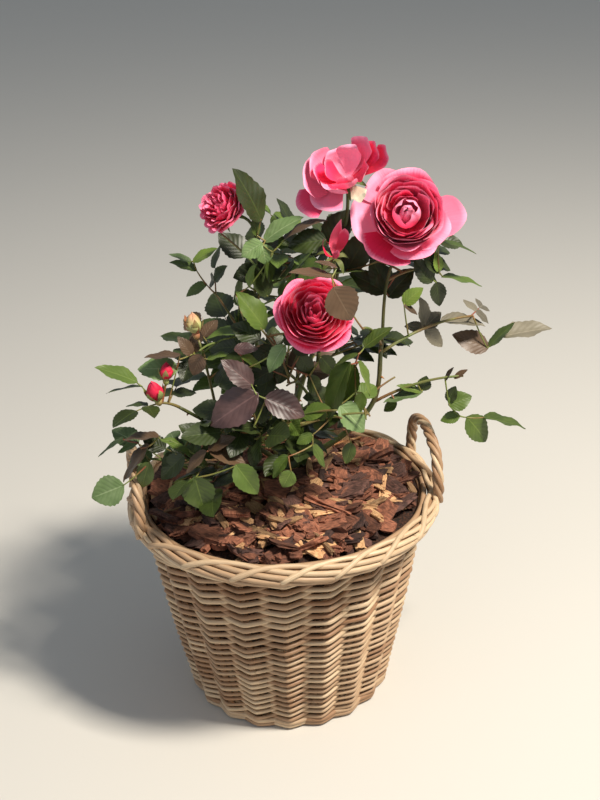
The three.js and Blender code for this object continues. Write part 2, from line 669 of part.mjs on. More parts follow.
// A bud on its pedicel: an egg shape, closed, with its stalk down to the shoot.
function budSolids(bud, from) {
  const centre = vec(bud.centre);
  const axis = centre.clone().sub(from).normalize();
  const egg = new THREE.SphereGeometry(bud.length / 2, 7, 5).scale(BUD.width, 1, BUD.width);
  egg.rotateZ(-Math.PI / 2).applyMatrix4(frameAt(centre, axis, new THREE.Vector3(0, -1, 0)));
  const pedicel = bent(new THREE.LineCurve3(from, centre), () => BUD.pedicel, 4, 1);
  return [solid(egg), solid(pedicel)];
}

// Section of an open bloom, in radii out from its axis and up it: outer petals, two inner whorls, the heart.
const BLOOM_SECTION = [
  [0, -0.5], [0.26, -0.46], [0.66, -0.24], [1, 0.06], [0.93, 0.14], [0.68, 0.06], [0.76, 0.3],
  [0.64, 0.37], [0.47, 0.22], [0.45, 0.46], [0.34, 0.48], [0.2, 0.36], [0, 0.5],
];
// Each whorl is turned on the one outside it; lead is how far a stalk runs straight on from its cane.
const BLOOM = { base: 0.4, taper: 0.85, lead: 6, turn: 0.9, ruffle: 0.06 };

// Where a stalk starts: straight on from its cane's tip, or out of its side.
function stalkStart({ cane, at }, limbs) {
  const { curve } = limbs[cane];
  const onAxis = curve.getPointAt(at);
  if (at < 1) return [onAxis.toArray()];
  const along = curve.getTangentAt(1);
  return [GAP, BLOOM.lead].map((step) => onAxis.clone().addScaledVector(along, step).toArray());
}

// A bloom on its stalk: nested whorls of petals, ruffled.
function bloom(spec, limbs) {
  const centre = vec(spec.centre);
  const face = vec(spec.face).normalize();
  const base = centre.clone().addScaledVector(face, -BLOOM.base * spec.radius);
  const points = [...stalkStart(spec, limbs), ...spec.stalk, base.toArray()];
  const stalk = limb(points, spec.foot, spec.foot * BLOOM.taper, 5, 5);
  const section = BLOOM_SECTION.map(([out, rise]) => [out * spec.radius, rise * spec.radius]);
  const geometry = turned(section, spec.petals * 3);
  const position = geometry.getAttribute("position");
  for (let i = 0; i < position.count; i++) {
    const row = i % section.length;
    if (row < 2 || row === section.length - 1) continue;
    const [x, y, z] = [position.getX(i), position.getY(i), position.getZ(i)];
    const ruffle = BLOOM.ruffle * Math.cos(Math.atan2(y, x) * spec.petals + row * BLOOM.turn);
    position.setXYZ(i, x * (1 + ruffle), y * (1 + ruffle), z + spec.radius * ruffle);
  }
  geometry.applyMatrix4(frameAt(centre, new THREE.Vector3(1, 0, 0.01), face));
  const clear = limb(points, spec.foot + GAP, spec.foot + GAP, 5, 5).made;
  const made = largest(stalk.made.subtract(limbs[spec.cane].clear)).add(solid(geometry));
  return { ...stalk, made, clear };
}

// Assembly, from the basket up.
const handles = { handle_right: HANDLE.turn, handle_left: HANDLE.turn + 180 };
const taken = [];
taken.push(piece("basket_wall", basketWall(), "willow"));
let rim = border();
for (const [name, degrees] of Object.entries(handles)) {
  taken.push(piece(name, handle(degrees), "willow"));
  rim = rim.subtract(handle(degrees, GAP));
}
taken.push(piece("basket_border", rim, "willow"));
piece("root_ball", rootBall(), "compost");
piece("stem_base", crown(), "cane");
const limbs = {};
const clearOfCrown = crown(GAP);
for (const [name, { path, foot, tip }] of Object.entries(CANES)) {
  const cane = limb(path, foot, tip);
  limbs[name] = { ...cane, clear: limb(path, foot + GAP, tip + GAP).made };
  taken.push(limb(path, foot + CLEARANCE, tip + CLEARANCE).made);
  piece(name, cane.made.subtract(clearOfCrown), "cane");
}
const bark = mulch().subtract(join(Object.values(limbs).map((cane) => cane.clear)));
taken.push(piece("bark_mulch", bark, "bark"));
for (const [name, spec] of Object.entries(BLOOMS)) {
  limbs[name] = bloom(spec, limbs);
  taken.push(piece(name, limbs[name].made, "petal"));
}
// The space for fingers in each handle stays free of leaves.
for (const degrees of Object.values(handles)) {
  const grip = new THREE.BoxGeometry(60, 2 * HANDLE.halfWidth, HANDLE.top - HANDLE.foot);
  grip.translate(BORDER.ring, 0, (HANDLE.top + HANDLE.foot) / 2).rotateZ(THREE.MathUtils.degToRad(degrees));
  taken.push(solid(grip));
}
const clearing = join(Object.values(limbs).map((one) => one.clear));
const stems = {};
for (const [name, mass] of Object.entries(MASSES)) {
  stems[name] = { start: seatOf(mass, limbs), end: vec(mass.end) };
}
for (const { name, parts, leaflets } of foliage(stems, taken, clearing)) {
  piece(name, join(parts), "leaf");
  rose.userData[name] = leaflets;
}

export default rose;
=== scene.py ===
"""Looks of the potted rose bush: woven basket, bark mulch, canes, leaves, buds and blooms.

Shapes are worked out in millimetres in the part's own frame (+Z up, the origin under the middle of the
basket) and turned to metres when a mesh is made.
"""

import logging
import math
from collections.abc import Callable, Iterable
from dataclasses import dataclass, field
from enum import Enum
from functools import cache

import bmesh
import bpy
import numpy as np
from bpy.types import Material, Node, NodeSocket, Object
from mathutils import Matrix, Vector


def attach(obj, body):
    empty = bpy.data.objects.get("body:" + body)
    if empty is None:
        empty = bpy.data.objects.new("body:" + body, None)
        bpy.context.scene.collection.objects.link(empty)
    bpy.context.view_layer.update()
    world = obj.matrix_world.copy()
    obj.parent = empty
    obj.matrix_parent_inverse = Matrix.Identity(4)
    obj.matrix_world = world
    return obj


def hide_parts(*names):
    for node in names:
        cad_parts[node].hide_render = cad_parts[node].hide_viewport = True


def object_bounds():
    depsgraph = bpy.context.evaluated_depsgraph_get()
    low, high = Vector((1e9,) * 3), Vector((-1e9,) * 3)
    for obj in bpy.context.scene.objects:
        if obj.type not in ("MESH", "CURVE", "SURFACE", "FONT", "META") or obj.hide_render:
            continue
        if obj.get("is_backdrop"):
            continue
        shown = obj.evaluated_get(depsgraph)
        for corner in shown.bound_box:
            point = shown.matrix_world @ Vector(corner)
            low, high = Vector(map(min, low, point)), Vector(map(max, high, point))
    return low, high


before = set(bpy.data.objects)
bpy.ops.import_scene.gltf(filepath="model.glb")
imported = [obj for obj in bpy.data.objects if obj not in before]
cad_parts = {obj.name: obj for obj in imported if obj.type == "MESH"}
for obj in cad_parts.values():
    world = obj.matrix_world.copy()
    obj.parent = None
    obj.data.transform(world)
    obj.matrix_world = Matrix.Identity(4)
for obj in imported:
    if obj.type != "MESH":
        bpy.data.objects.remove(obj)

log = logging.getLogger("rose")

# Points, directions, or values one for each point.
Array = np.ndarray

MM = 0.001
GOLDEN = math.radians(137.5)

# One unit of a rod's or a chip's own pattern along it, in millimetres.
PATTERN = 10.0

# Corners this close, in metres, are one where a sheet's edges meet.
SEAM = 1e-7

# Sizes shared with the part's source.
FOOT_RADIUS, RIM_RADIUS, WALL_HEIGHT, WALL_BULGE = 108.0, 147.0, 208.0, 1.5
STAKES = 20
BORDER_RING, BORDER_HEIGHT = 149.5, 219.5
FILL_TOP = 200.0
MULCH_RADIUS, MULCH_EDGE, MULCH_DOME, MULCH_SLOPE = 135.0, 222.0, 16.0, 0.02
CROWN = np.array([5.0, 22.0, 236.0])
SEED = 1300


def linear(code: str) -> tuple[float, float, float, float]:
    """A colour written as sRGB hex, as linear light.

    Args:
        code: Six hex digits.

    Returns:
        Red, green, blue and alpha.
    """
    channels = [int(code[i : i + 2], 16) / 255 for i in (0, 2, 4)]
    return (*(c / 12.92 if c <= 0.04045 else ((c + 0.055) / 1.055) ** 2.4 for c in channels), 1.0)


def unit(vector: Array) -> Array:
    """The vector at length one."""
    return vector / max(np.linalg.norm(vector), 1e-9)


class Stream:
    """A repeatable stream of numbers from 0 to 1, the same rule as in the part's source."""

    def __init__(self, seed: int) -> None:
        """Starts the stream at a seed."""
        self.state = seed & 0xFFFFFFFF

    def __call__(self) -> float:
        """The next number."""
        self.state = (self.state * 1664525 + 1013904223) & 0xFFFFFFFF
        return self.state / 4294967296

    def between(self, low: float, high: float) -> float:
        """The next number, spread from low to high."""
        return low + (high - low) * self()

    def swing(self, size: float = 1.0) -> float:
        """The next number, spread from minus size to size."""
        return size * (2 * self() - 1)

    def pick(self, weighted: dict) -> object:
        """One of the keys, each as likely as its weight.

        Args:
            weighted: The weight of each key.

        Returns:
            The key.
        """
        mark = self() * sum(weighted.values())
        for key, weight in weighted.items():
            mark -= weight
            if mark <= 0:
                return key
        return key


# Curves and sheets


class Path:
    """A curve in space, walked by the share of its length."""

    def __init__(self, dense: Array) -> None:
        """Measures the curve.

        Args:
            dense: Closely spaced points along it.
        """
        steps = np.linalg.norm(np.diff(dense, axis=0), axis=1)
        walked = np.concatenate(([0.0], np.cumsum(steps)))
        self.dense = dense
        self.length = walked[-1]
        self.share = walked / self.length

    def at(self, share: float | Array) -> Array:
        """The point, or points, at a share of the length."""
        return np.stack([np.interp(share, self.share, self.dense[:, k]) for k in range(3)], -1)

    def along(self, share: float) -> Array:
        """The direction of the curve at a share of its length."""
        return unit(self.at(min(share + 0.02, 1)) - self.at(max(share - 0.02, 0)))

    @classmethod
    def through(cls, points: Iterable) -> "Path":
        """A smooth curve through points, with knots spaced by the root of the distance.

        Args:
            points: The points, in order.

        Returns:
            The curve.
        """
        given = [np.array(p, float) for p in points]
        run = [2 * given[0] - given[1], *given, 2 * given[-1] - given[-2]]
        dense = [given[0]]
        for a, b, c, d in zip(run, run[1:], run[2:], run[3:]):
            k1 = math.sqrt(np.linalg.norm(b - a))
            k2 = k1 + math.sqrt(np.linalg.norm(c - b))
            k3 = k2 + math.sqrt(np.linalg.norm(d - c))
            for t in np.linspace(k1, k2, 13)[1:]:
                ab = a + (b - a) * t / k1
                bc = b + (c - b) * (t - k1) / (k2 - k1)
                cd = c + (d - c) * (t - k2) / (k3 - k2)
                abc = ab + (bc - ab) * t / k2
                bcd = bc + (cd - bc) * (t - k1) / (k3 - k1)
                dense.append(abc + (bcd - abc) * (t - k1) / (k2 - k1))
        return cls(np.array(dense))

    @classmethod
    def bowed(cls, start: Array, end: Array, bow: float) -> "Path":
        """A curve from one point to another that bows upward.

        Args:
            start: Its first point.
            end: Its last point.
            bow: How far it bows, as a share of its length.

        Returns:
            The curve.
        """
        middle = (start + end) / 2 + np.array([0, 0, bow * np.linalg.norm(end - start)])
        t = np.linspace(0, 1, 25)[:, None]
        return cls((1 - t) ** 2 * start + 2 * t * (1 - t) * middle + t**2 * end)


@dataclass(frozen=True)
class Sheet:
    """A flat sheet cut into columns and rows: where each corner lies, from 0 to 1, and the faces."""

    u: Array
    v: Array
    faces: Array


@cache
def sheet(columns: int, rows: int) -> Sheet:
    """A flat sheet, made once for each size.

    Args:
        columns: Faces across it.
        rows: Faces up it.

    Returns:
        The sheet.
    """
    bm = bmesh.new()
    bmesh.ops.create_grid(bm, x_segments=columns, y_segments=rows, size=0.5)
    bm.verts.index_update()
    corners = np.array([v.co[:] for v in bm.verts]) + 0.5
    faces = np.array([[v.index for v in f.verts] for f in bm.faces])
    bm.free()
    return Sheet(corners[:, 0], corners[:, 1], faces)


def frames_along(points: Array) -> tuple[Array, Array]:
    """Two directions across a line at each of its points, carried along it without twisting.

    Args:
        points: The line's points, in order.

    Returns:
        The two sets of directions.
    """
    tangents = np.gradient(points, axis=0)
    tangents /= np.linalg.norm(tangents, axis=1)[:, None] + 1e-9
    least = np.eye(3)[np.argmin(np.abs(tangents[0]))]
    normals = [unit(np.cross(tangents[0], least))]
    for tangent in tangents[1:]:
        normals.append(unit(normals[-1] - np.dot(normals[-1], tangent) * tangent))
    normals = np.array(normals)
    return normals, np.cross(tangents, normals)


class Patchwork:
    """Bent sheets gathered into one mesh, each with a finish and a tint of its own."""

    def __init__(self) -> None:
        """Starts with no sheet."""
        self.points: list[Array] = []
        self.faces: list[Array] = []
        self.uvs: list[Array] = []
        self.finishes: list[Array] = []
        self.tints: list[Array] = []
        self.count = 0

    def lay(
        self,
        cut: Sheet,
        points: Array,
        finish: int = 0,
        tint: float = 0.5,
        uv: Array | None = None,
    ) -> None:
        """Adds one bent sheet.

        Args:
            cut: The flat sheet.
            points: Where each of its corners goes, in millimetres.
            finish: Which of the mesh's finishes it wears.
            tint: Its own shade, from 0 to 1.
            uv: Its place in its pattern, instead of its flat place.
        """
        flat = np.stack((cut.u, cut.v), 1) if uv is None else uv
        self.points.append(points)
        self.faces.append(cut.faces + self.count)
        self.uvs.append(flat[cut.faces].reshape(-1, 2))
        self.finishes.append(np.full(len(cut.faces), finish))
        self.tints.append(np.full(len(points), tint))
        self.count += len(points)

    def rod(
        self,
        line: Array,
        radius: float | Array | Callable[[Array, Array], Array],
        sides: int = 6,
        finish: int = 0,
        tint: float = 0.5,
    ) -> None:
        """Adds a round rod along a line, closed at both ends.

        Args:
            line: Points along its middle.
            radius: One radius, one for each point, or a rule of share along and angle round.
            sides: Faces round it.
            finish: Which of the mesh's finishes it wears.
            tint: Its own shade, from 0 to 1.
        """
        last = len(line) - 1
        rings = last + 2
        cut = sheet(sides, rings)
        ring = np.round(cut.v * rings).astype(int)
        at = np.clip(ring - 1, 0, last)
        angle = 2 * np.pi * cut.u
        normals, across = frames_along(line)
        size = radius(at / last, angle) if callable(radius) else np.broadcast_to(radius, last + 1)[at]
        size = np.where((ring == 0) | (ring == rings), 0.0, size)[:, None]
        spoke = np.cos(angle)[:, None] * normals[at] + np.sin(angle)[:, None] * across[at]
        walked = np.concatenate(([0.0], np.cumsum(np.linalg.norm(np.diff(line, axis=0), axis=1))))
        self.lay(cut, line[at] + size * spoke, finish, tint, np.stack((cut.u, walked[at] / PATTERN), 1))

    def build(
        self,
        name: str,
        looks: list[Material],
        nodes: Iterable[str],
        slot: str,
        closed: bool,
        smooth: bool = True,
    ) -> Object:
        """Makes the mesh and places it in the model.

        Args:
            name: The piece's name.
            looks: The finishes, in the order that the sheets name them.
            nodes: The part's nodes that it stands for.
            slot: The record's material slot, which is not used.
            closed: Whether its sheets close into solids.
            smooth: Whether its faces are shaded as one smooth skin.

        Returns:
            The piece.
        """
        mesh = bpy.data.meshes.new(name)
        faces = np.concatenate(self.faces)
        mesh.from_pydata(np.concatenate(self.points) * MM, [], faces)
        mesh.uv_layers.new(name="UVMap").data.foreach_set("uv", np.concatenate(self.uvs).ravel())
        tints = mesh.attributes.new("tint", "FLOAT", "POINT")
        tints.data.foreach_set("value", np.concatenate(self.tints))
        mesh.polygons.foreach_set("material_index", np.concatenate(self.finishes))
        mesh.polygons.foreach_set("use_smooth", np.full(len(faces), smooth))
        for look in looks:
            mesh.materials.append(look)
        if closed:
            bm = bmesh.new()
            bm.from_mesh(mesh)
            bmesh.ops.remove_doubles(bm, verts=bm.verts, dist=SEAM)
            bmesh.ops.recalc_face_normals(bm, faces=bm.faces)
            bm.to_mesh(mesh)
            bm.free()
        return place(bpy.data.objects.new(name, mesh), nodes)


def place(piece: Object, nodes: Iterable[str]) -> Object:
    """Puts a finished piece in the model, in place of the part's nodes.

    Args:
        piece: The piece, at the origin.
        nodes: The nodes that it stands for.

    Returns:
        The piece.
    """
    bpy.context.scene.collection.objects.link(piece)
    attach(piece, "root")
    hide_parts(*nodes)
    log.info("%s: %d faces", piece.name, len(piece.data.polygons))
    return piece


# Finishes


class Shader:
    """The nodes of one material, laid with few words."""

    def __init__(self, name: str) -> None:
        """Starts a material with its surface shader.

        Args:
            name: The material's name.
        """
        self.material = bpy.data.materials.new(name)
        self.material.use_nodes = True
        self.tree = self.material.node_tree
        self.surface = self.tree.nodes["Principled BSDF"]

    def node(self, kind: str, links: dict | None = None, **settings: object) -> Node:
        """Adds a node.

        Args:
            kind: The node's type, without its ShaderNode prefix.
            links: What each input takes: an output to link, or a value to set.
            settings: The node's own properties.

        Returns:
            The node.
        """
        made = self.tree.nodes.new("ShaderNode" + kind)
        for key, value in settings.items():
            setattr(made, key, value)
        for key, value in (links or {}).items():
            self.feed(made.inputs[key], value)
        return made

    def feed(self, socket: NodeSocket, value: object) -> None:
        """Links an output to a socket, or sets its value.

        Args:
            socket: The input.
            value: The output to link, or the value to set.
        """
        if isinstance(value, NodeSocket):
            self.tree.links.new(value, socket)
        else:
            socket.default_value = value

    def math(self, operation: str, *values: object) -> NodeSocket:
        """The result of one sum on values or outputs."""
        return self.node("Math", dict(enumerate(values)), operation=operation).outputs[0]

    def ramp(self, value: object, low: float, high: float, to: tuple = (0.0, 1.0)) -> NodeSocket:
        """A value eased from low..high to the range given."""
        links = {"Value": value, "From Min": low, "From Max": high, "To Min": to[0], "To Max": to[1]}
        return self.node("MapRange", links, interpolation_type="SMOOTHSTEP").outputs[0]

    def mix(self, share: object, first: object, second: object, blend: str = "MIX") -> NodeSocket:
        """Two colours mixed.

        Args:
            share: How much of the second colour there is, from 0 to 1.
            first: The colour at 0.
            second: The colour at 1.
            blend: How the second one is laid over the first.

        Returns:
            The mixed colour.
        """
        made = self.node("Mix", data_type="RGBA", blend_type=blend)
        for socket, value in zip((made.inputs[0], made.inputs[6], made.inputs[7]), (share, first, second)):
            self.feed(socket, value)
        return made.outputs[2]

    def noise(self, where: NodeSocket, scale: float, detail: float = 4.0) -> NodeSocket:
        """A cloudy value from 0 to 1, with so many clouds to a metre or to a unit of the piece's pattern."""
        return self.node("TexNoise", {"Vector": where, "Scale": scale, "Detail": detail}).outputs[0]

    def stretched(self, where: NodeSocket, by: tuple[float, float, float]) -> NodeSocket:
        """A place scaled by its own amount each way."""
        return self.node("Mapping", {"Vector": where, "Scale": by}).outputs[0]

    def place(self) -> NodeSocket:
        """The point on the model, in metres."""
        return self.node("TexCoord").outputs["Object"]

    def uv(self) -> NodeSocket:
        """The place in the piece's own pattern."""
        return self.node("TexCoord").outputs["UV"]

    def tint(self) -> NodeSocket:
        """The shade dealt to each sheet, from 0 to 1."""
        return self.node("Attribute", attribute_name="tint").outputs["Fac"]

    def shaded(self, colour: object, low: float, high: float) -> NodeSocket:
        """A colour made darker or lighter from sheet to sheet.

        Args:
            colour: The colour.
            low: What the darkest sheet's colour is multiplied by.
            high: What the lightest sheet's colour is multiplied by.

        Returns:
            The shaded colour.
        """
        shade = self.ramp(self.tint(), 0, 1, (low, high))
        grey = self.node("CombineXYZ", {0: shade, 1: shade, 2: shade}).outputs[0]
        return self.mix(1.0, colour, grey, "MULTIPLY")

    def finish(
        self,
        colour: object,
        roughness: object,
        height: object = None,
        depth: float = 0.0,
        **inputs: object,
    ) -> Material:
        """Dresses the surface.

        Args:
            colour: Base colour.
            roughness: Its roughness.
            height: Relief from 0 to 1, if it has any.
            depth: How deep that relief is, in millimetres.
            inputs: Other inputs of the surface, with _ for each space.

        Returns:
            The material.
        """
        self.feed(self.surface.inputs["Base Color"], colour)
        self.feed(self.surface.inputs["Roughness"], roughness)
        if height is not None:
            bump = self.node("Bump", {"Height": height, "Distance": depth * MM, "Strength": 1.0})
            self.feed(self.surface.inputs["Normal"], bump.outputs[0])
        for key, value in inputs.items():
            self.feed(self.surface.inputs[key.replace("_", " ")], value)
        return self.material


@dataclass(frozen=True)
class Willow:
    """Willow rods, boiled, peeled and dried: buff, with a silky streaked skin and a few marks of bark."""

    name: str = "willow"
    pale: str = "dcc3a0"
    warm: str = "987252"
    mark: str = "5a3e28"

    def material(self) -> Material:
        """The willow, streaked along each rod, with each rod a shade of its own.

        Returns:
            The material.
        """
        s = Shader(self.name)
        # About 20 streaks round a rod, each some 13 mm long: real ones are finer than the render shows.
        streaks = s.noise(s.stretched(s.uv(), (9, 0.35, 1)), 2.2)
        # Marks of bark, where clouds about 11 mm across are at their thickest.
        blotches = s.noise(s.place(), 90, 3)
        base = s.mix(s.tint(), linear(self.warm), linear(self.pale))
        shaded = s.mix(s.ramp(streaks, 0.35, 0.75, (0.0, 0.45)), base, linear(self.warm))
        marked = s.mix(s.ramp(blotches, 0.66, 0.74, (0.0, 0.55)), shaded, linear(self.mark))
        return s.finish(marked, s.ramp(streaks, 0.2, 0.8, (0.42, 0.62)), streaks, 0.25)


@dataclass(frozen=True)
class Bark:
    """Shredded pine bark: corky plates split along the grain, dry, dull and flaky."""

    name: str
    light: str
    dark: str

    def material(self) -> Material:
        """The bark, ridged along each chip and patchy across it.

        Returns:
            The material.
        """
        s = Shader(self.name)
        # Ridges that run some 7 mm along a chip, 15 of them across it.
        grain = s.noise(s.stretched(s.uv(), (0.5, 5, 1)), 3.0, 8)
        # Patches about 6 mm across.
        patches = s.noise(s.place(), 160, 6)
        base = s.mix(s.ramp(grain, 0.3, 0.7), linear(self.dark), linear(self.light))
        varied = s.mix(s.ramp(patches, 0.4, 0.7, (0.0, 0.6)), base, linear(self.dark))
        return s.finish(s.shaded(varied, 0.5, 1.5), 0.85, grain, 1.2)


@dataclass(frozen=True)
class Soil:
    """Potting compost and bark dust: dark, crumbly and moist, with no gloss."""

    name: str = "compost"
    dark: str = "1d120b"
    light: str = "4a2c1c"

    def material(self) -> Material:
        """The compost, fine crumbs in coarser ones.

        Returns:
            The material.
        """
        s = Shader(self.name)
        # Crumbs about 2.4 mm across.
        crumbs = s.noise(s.place(), 420, 8)
        colour = s.mix(s.ramp(crumbs, 0.35, 0.7), linear(self.dark), linear(self.light))
        return s.finish(colour, 0.95, crumbs, 2.5)


@dataclass(frozen=True)
class Stem:
    """Rose cane: a smooth waxy skin with fine streaks along it, reddened where the sun reaches it."""

    name: str
    skin: str
    flush: str
    roughness: float = 0.45
    streak: str = "a9a06a"

    def material(self) -> Material:
        """The skin, flushed in patches and streaked along the cane.

        Returns:
            The material.
        """
        s = Shader(self.name)
        # Flushed patches about 38 mm long, and streaks some 7 mm long, 18 round the cane.
        patches = s.noise(s.place(), 26, 3)
        streaks = s.noise(s.stretched(s.uv(), (6, 0.5, 1)), 3.0)
        base = s.mix(s.ramp(patches, 0.4, 0.65), linear(self.skin), linear(self.flush))
        streaked = s.mix(s.ramp(streaks, 0.5, 0.8, (0.0, 0.35)), base, linear(self.streak))
        return s.finish(streaked, self.roughness, streaks, 0.3)


@dataclass(frozen=True)
class Leaf:
    """A rose leaf: leathery, waxy and half glossy above, dull and paler below, quilted by its veins."""

    name: str
    blade: str
    vein: str
    under: str
    roughness: float = 0.46
    coat: float = 0.06
    side_veins: float = 7.0
    slant: float = 4.5

    def material(self) -> Material:
        """The blade, with its midrib and side veins, mottled, and paler on its underside.

        Returns:
            The material.
        """
        s = Shader(self.name)
        place_in = s.node("SeparateXYZ", {0: s.uv()}).outputs
        off = s.math("ABSOLUTE", s.math("SUBTRACT", place_in[0], 0.5))
        midrib = s.ramp(off, 0.01, 0.035, (1.0, 0.0))
        along = s.math("MULTIPLY", place_in[1], self.side_veins)
        phase = s.math("SUBTRACT", along, s.math("MULTIPLY", off, self.slant))
        nearest = s.math("ABSOLUTE", s.math("SUBTRACT", s.math("FRACT", phase), 0.5))
        fine = s.ramp(nearest, 0.0, 0.09, (1.0, 0.0))
        veins = s.math("MULTIPLY", fine, s.ramp(off, 0.2, 0.45, (0.3, 0.05)))
        net = s.math("MAXIMUM", midrib, veins)
        # Mottled in patches about 14 mm across.
        mottle = s.noise(s.place(), 70, 4)
        base = s.shaded(linear(self.blade), 0.7, 1.3)
        mottled = s.mix(s.ramp(mottle, 0.4, 0.8, (0.0, 0.3)), base, linear(self.vein))
        upper = s.mix(s.math("MULTIPLY", net, 0.45), mottled, linear(self.vein))
        below = s.node("NewGeometry").outputs["Backfacing"]
        lower = s.mix(s.math("MULTIPLY", net, 0.5), linear(self.under), linear(self.vein))
        relief = s.math("SUBTRACT", s.ramp(nearest, 0.0, 0.5), midrib)
        gloss = s.ramp(below, 0, 1, (self.roughness, 0.7))
        both = s.mix(below, upper, lower)
        return s.finish(both, gloss, relief, 0.13, Coat_Weight=self.coat, Coat_Roughness=0.3)


@dataclass(frozen=True)
class Petal:
    """A rose petal: thin, soft and velvety from its raised skin cells, finely streaked from claw to edge."""

    name: str
    heart: str
    middle: str
    edge: str
    back: str
    turn: float = 0.8

    def material(self) -> Material:
        """The petal, deeper towards its claw, paler at its edge and on its back: the deeper claw and the
        paler edge are partly painted shade and painted light.

        Returns:
            The material.
        """
        s = Shader(self.name)
        place_in = s.node("SeparateXYZ", {0: s.uv()}).outputs
        # About 32 streaks across a petal: real ones are finer than the render shows.
        streaks = s.noise(s.stretched(s.uv(), (16, 1.2, 1)), 2.0)
        along = s.math("ADD", place_in[1], s.math("MULTIPLY", s.math("SUBTRACT", streaks, 0.5), 0.25))
        # Deeper towards the claw: partly the petal's own colour, partly painted shade for the bloom's
        # hollows.
        low = s.mix(s.ramp(along, 0.3, 0.8), linear(self.heart), linear(self.middle))
        # Paler towards the rim: partly the petal's own colour, partly painted light for sun shining through
        # the thin rim.
        face = s.mix(s.ramp(along, self.turn, 1.0, (0.0, 0.9)), low, linear(self.edge))
        # Each petal's paleness, given whorl by whorl: partly its own colour, partly painted light and shade.
        shifted = s.mix(s.ramp(s.tint(), 0, 1, (0.0, 0.9)), face, linear(self.edge))
        below = s.node("NewGeometry").outputs["Backfacing"]
        both = s.mix(s.math("MULTIPLY", below, 0.5), shifted, linear(self.back))
        return s.finish(both, 0.6, streaks, 0.25, Sheen_Weight=0.15, Sheen_Roughness=0.4)


@dataclass(frozen=True)
class Plain:
    """Matt studio paper under the pot."""

    name: str = "floor"
    colour: str = "d2cfc8"
    cloud: str = "b8b4ac"

    def material(self) -> Material:
        """The paper, with the faintest mottle.

        Returns:
            The material.
        """
        s = Shader(self.name)
        # Clouds about 330 mm across.
        share = s.math("MULTIPLY", s.noise(s.place(), 3, 2), 0.06)
        return s.finish(s.mix(share, linear(self.colour), linear(self.cloud)), 0.9)


# The basket


def wall_radius(z: float | Array) -> float | Array:
    """Radius of the outside of the woven wall at a height, a little fuller at half its height."""
    share = z / WALL_HEIGHT
    return FOOT_RADIUS + (RIM_RADIUS - FOOT_RADIUS) * share + WALL_BULGE * (1 - np.abs(2 * share - 1))


def around(radius: Array, angle: Array, z: Array) -> Array:
    """Points at a radius and an angle round the basket's axis, at a height."""
    return np.stack(np.broadcast_arrays(radius * np.cos(angle), radius * np.sin(angle), z), -1).astype(float)


@dataclass(frozen=True)
class Band:
    """Rows of weave or rings of the base: first and last, the step between them and the rods' radius."""

    low: float
    high: float
    step: float
    rod: float


@dataclass(frozen=True)
class Handle:
    """A rope handle, arched up from the border.

    It has half its width, the heights of its foot and top, how far outside the ring it stands, its strands
    and their turns, the radius that they turn at and their own, and the points of its arch, as shares of half
    the width and of the height.
    """

    half_width: float = 50.0
    foot: float = 219.0
    top: float = 281.5
    outward: float = 1.0
    strands: int = 4
    turns: float = 3.6
    core: float = 3.3
    rod: float = 2.5
    arch: tuple = ((-1, 0), (-1.02, 0.36), (-0.8, 0.78), (0, 1), (0.8, 0.78), (1.02, 0.36), (1, 0))


# The course of a border rod: stakes that it has passed, degrees round the ring's section and distance
# from the ring's middle.
BORDER_COURSE = (
    (-0.22, -62, 4.5), (-0.06, -28, 7.6), (0.02, -4, 9.6), (0.3, 36, 9.8), (0.65, 72, 9.3), (1.15, 96, 8.4),
    (1.6, 74, 7.2), (2.15, 44, 8.0), (2.9, 17, 8.7), (3.7, -12, 9.1), (4.4, -38, 9.0), (5.1, -62, 8.4),
)

# Where the handles stand, in degrees round the ring.
HANDLES = {"handle_right": 10, "handle_left": 190}

# The rods inside the border: degrees round its section and distance from its middle.
BORDER_CORE = ((135, 7.2), (178, 7.6), (225, 7.2), (60, 2.5), (0, 3.5))


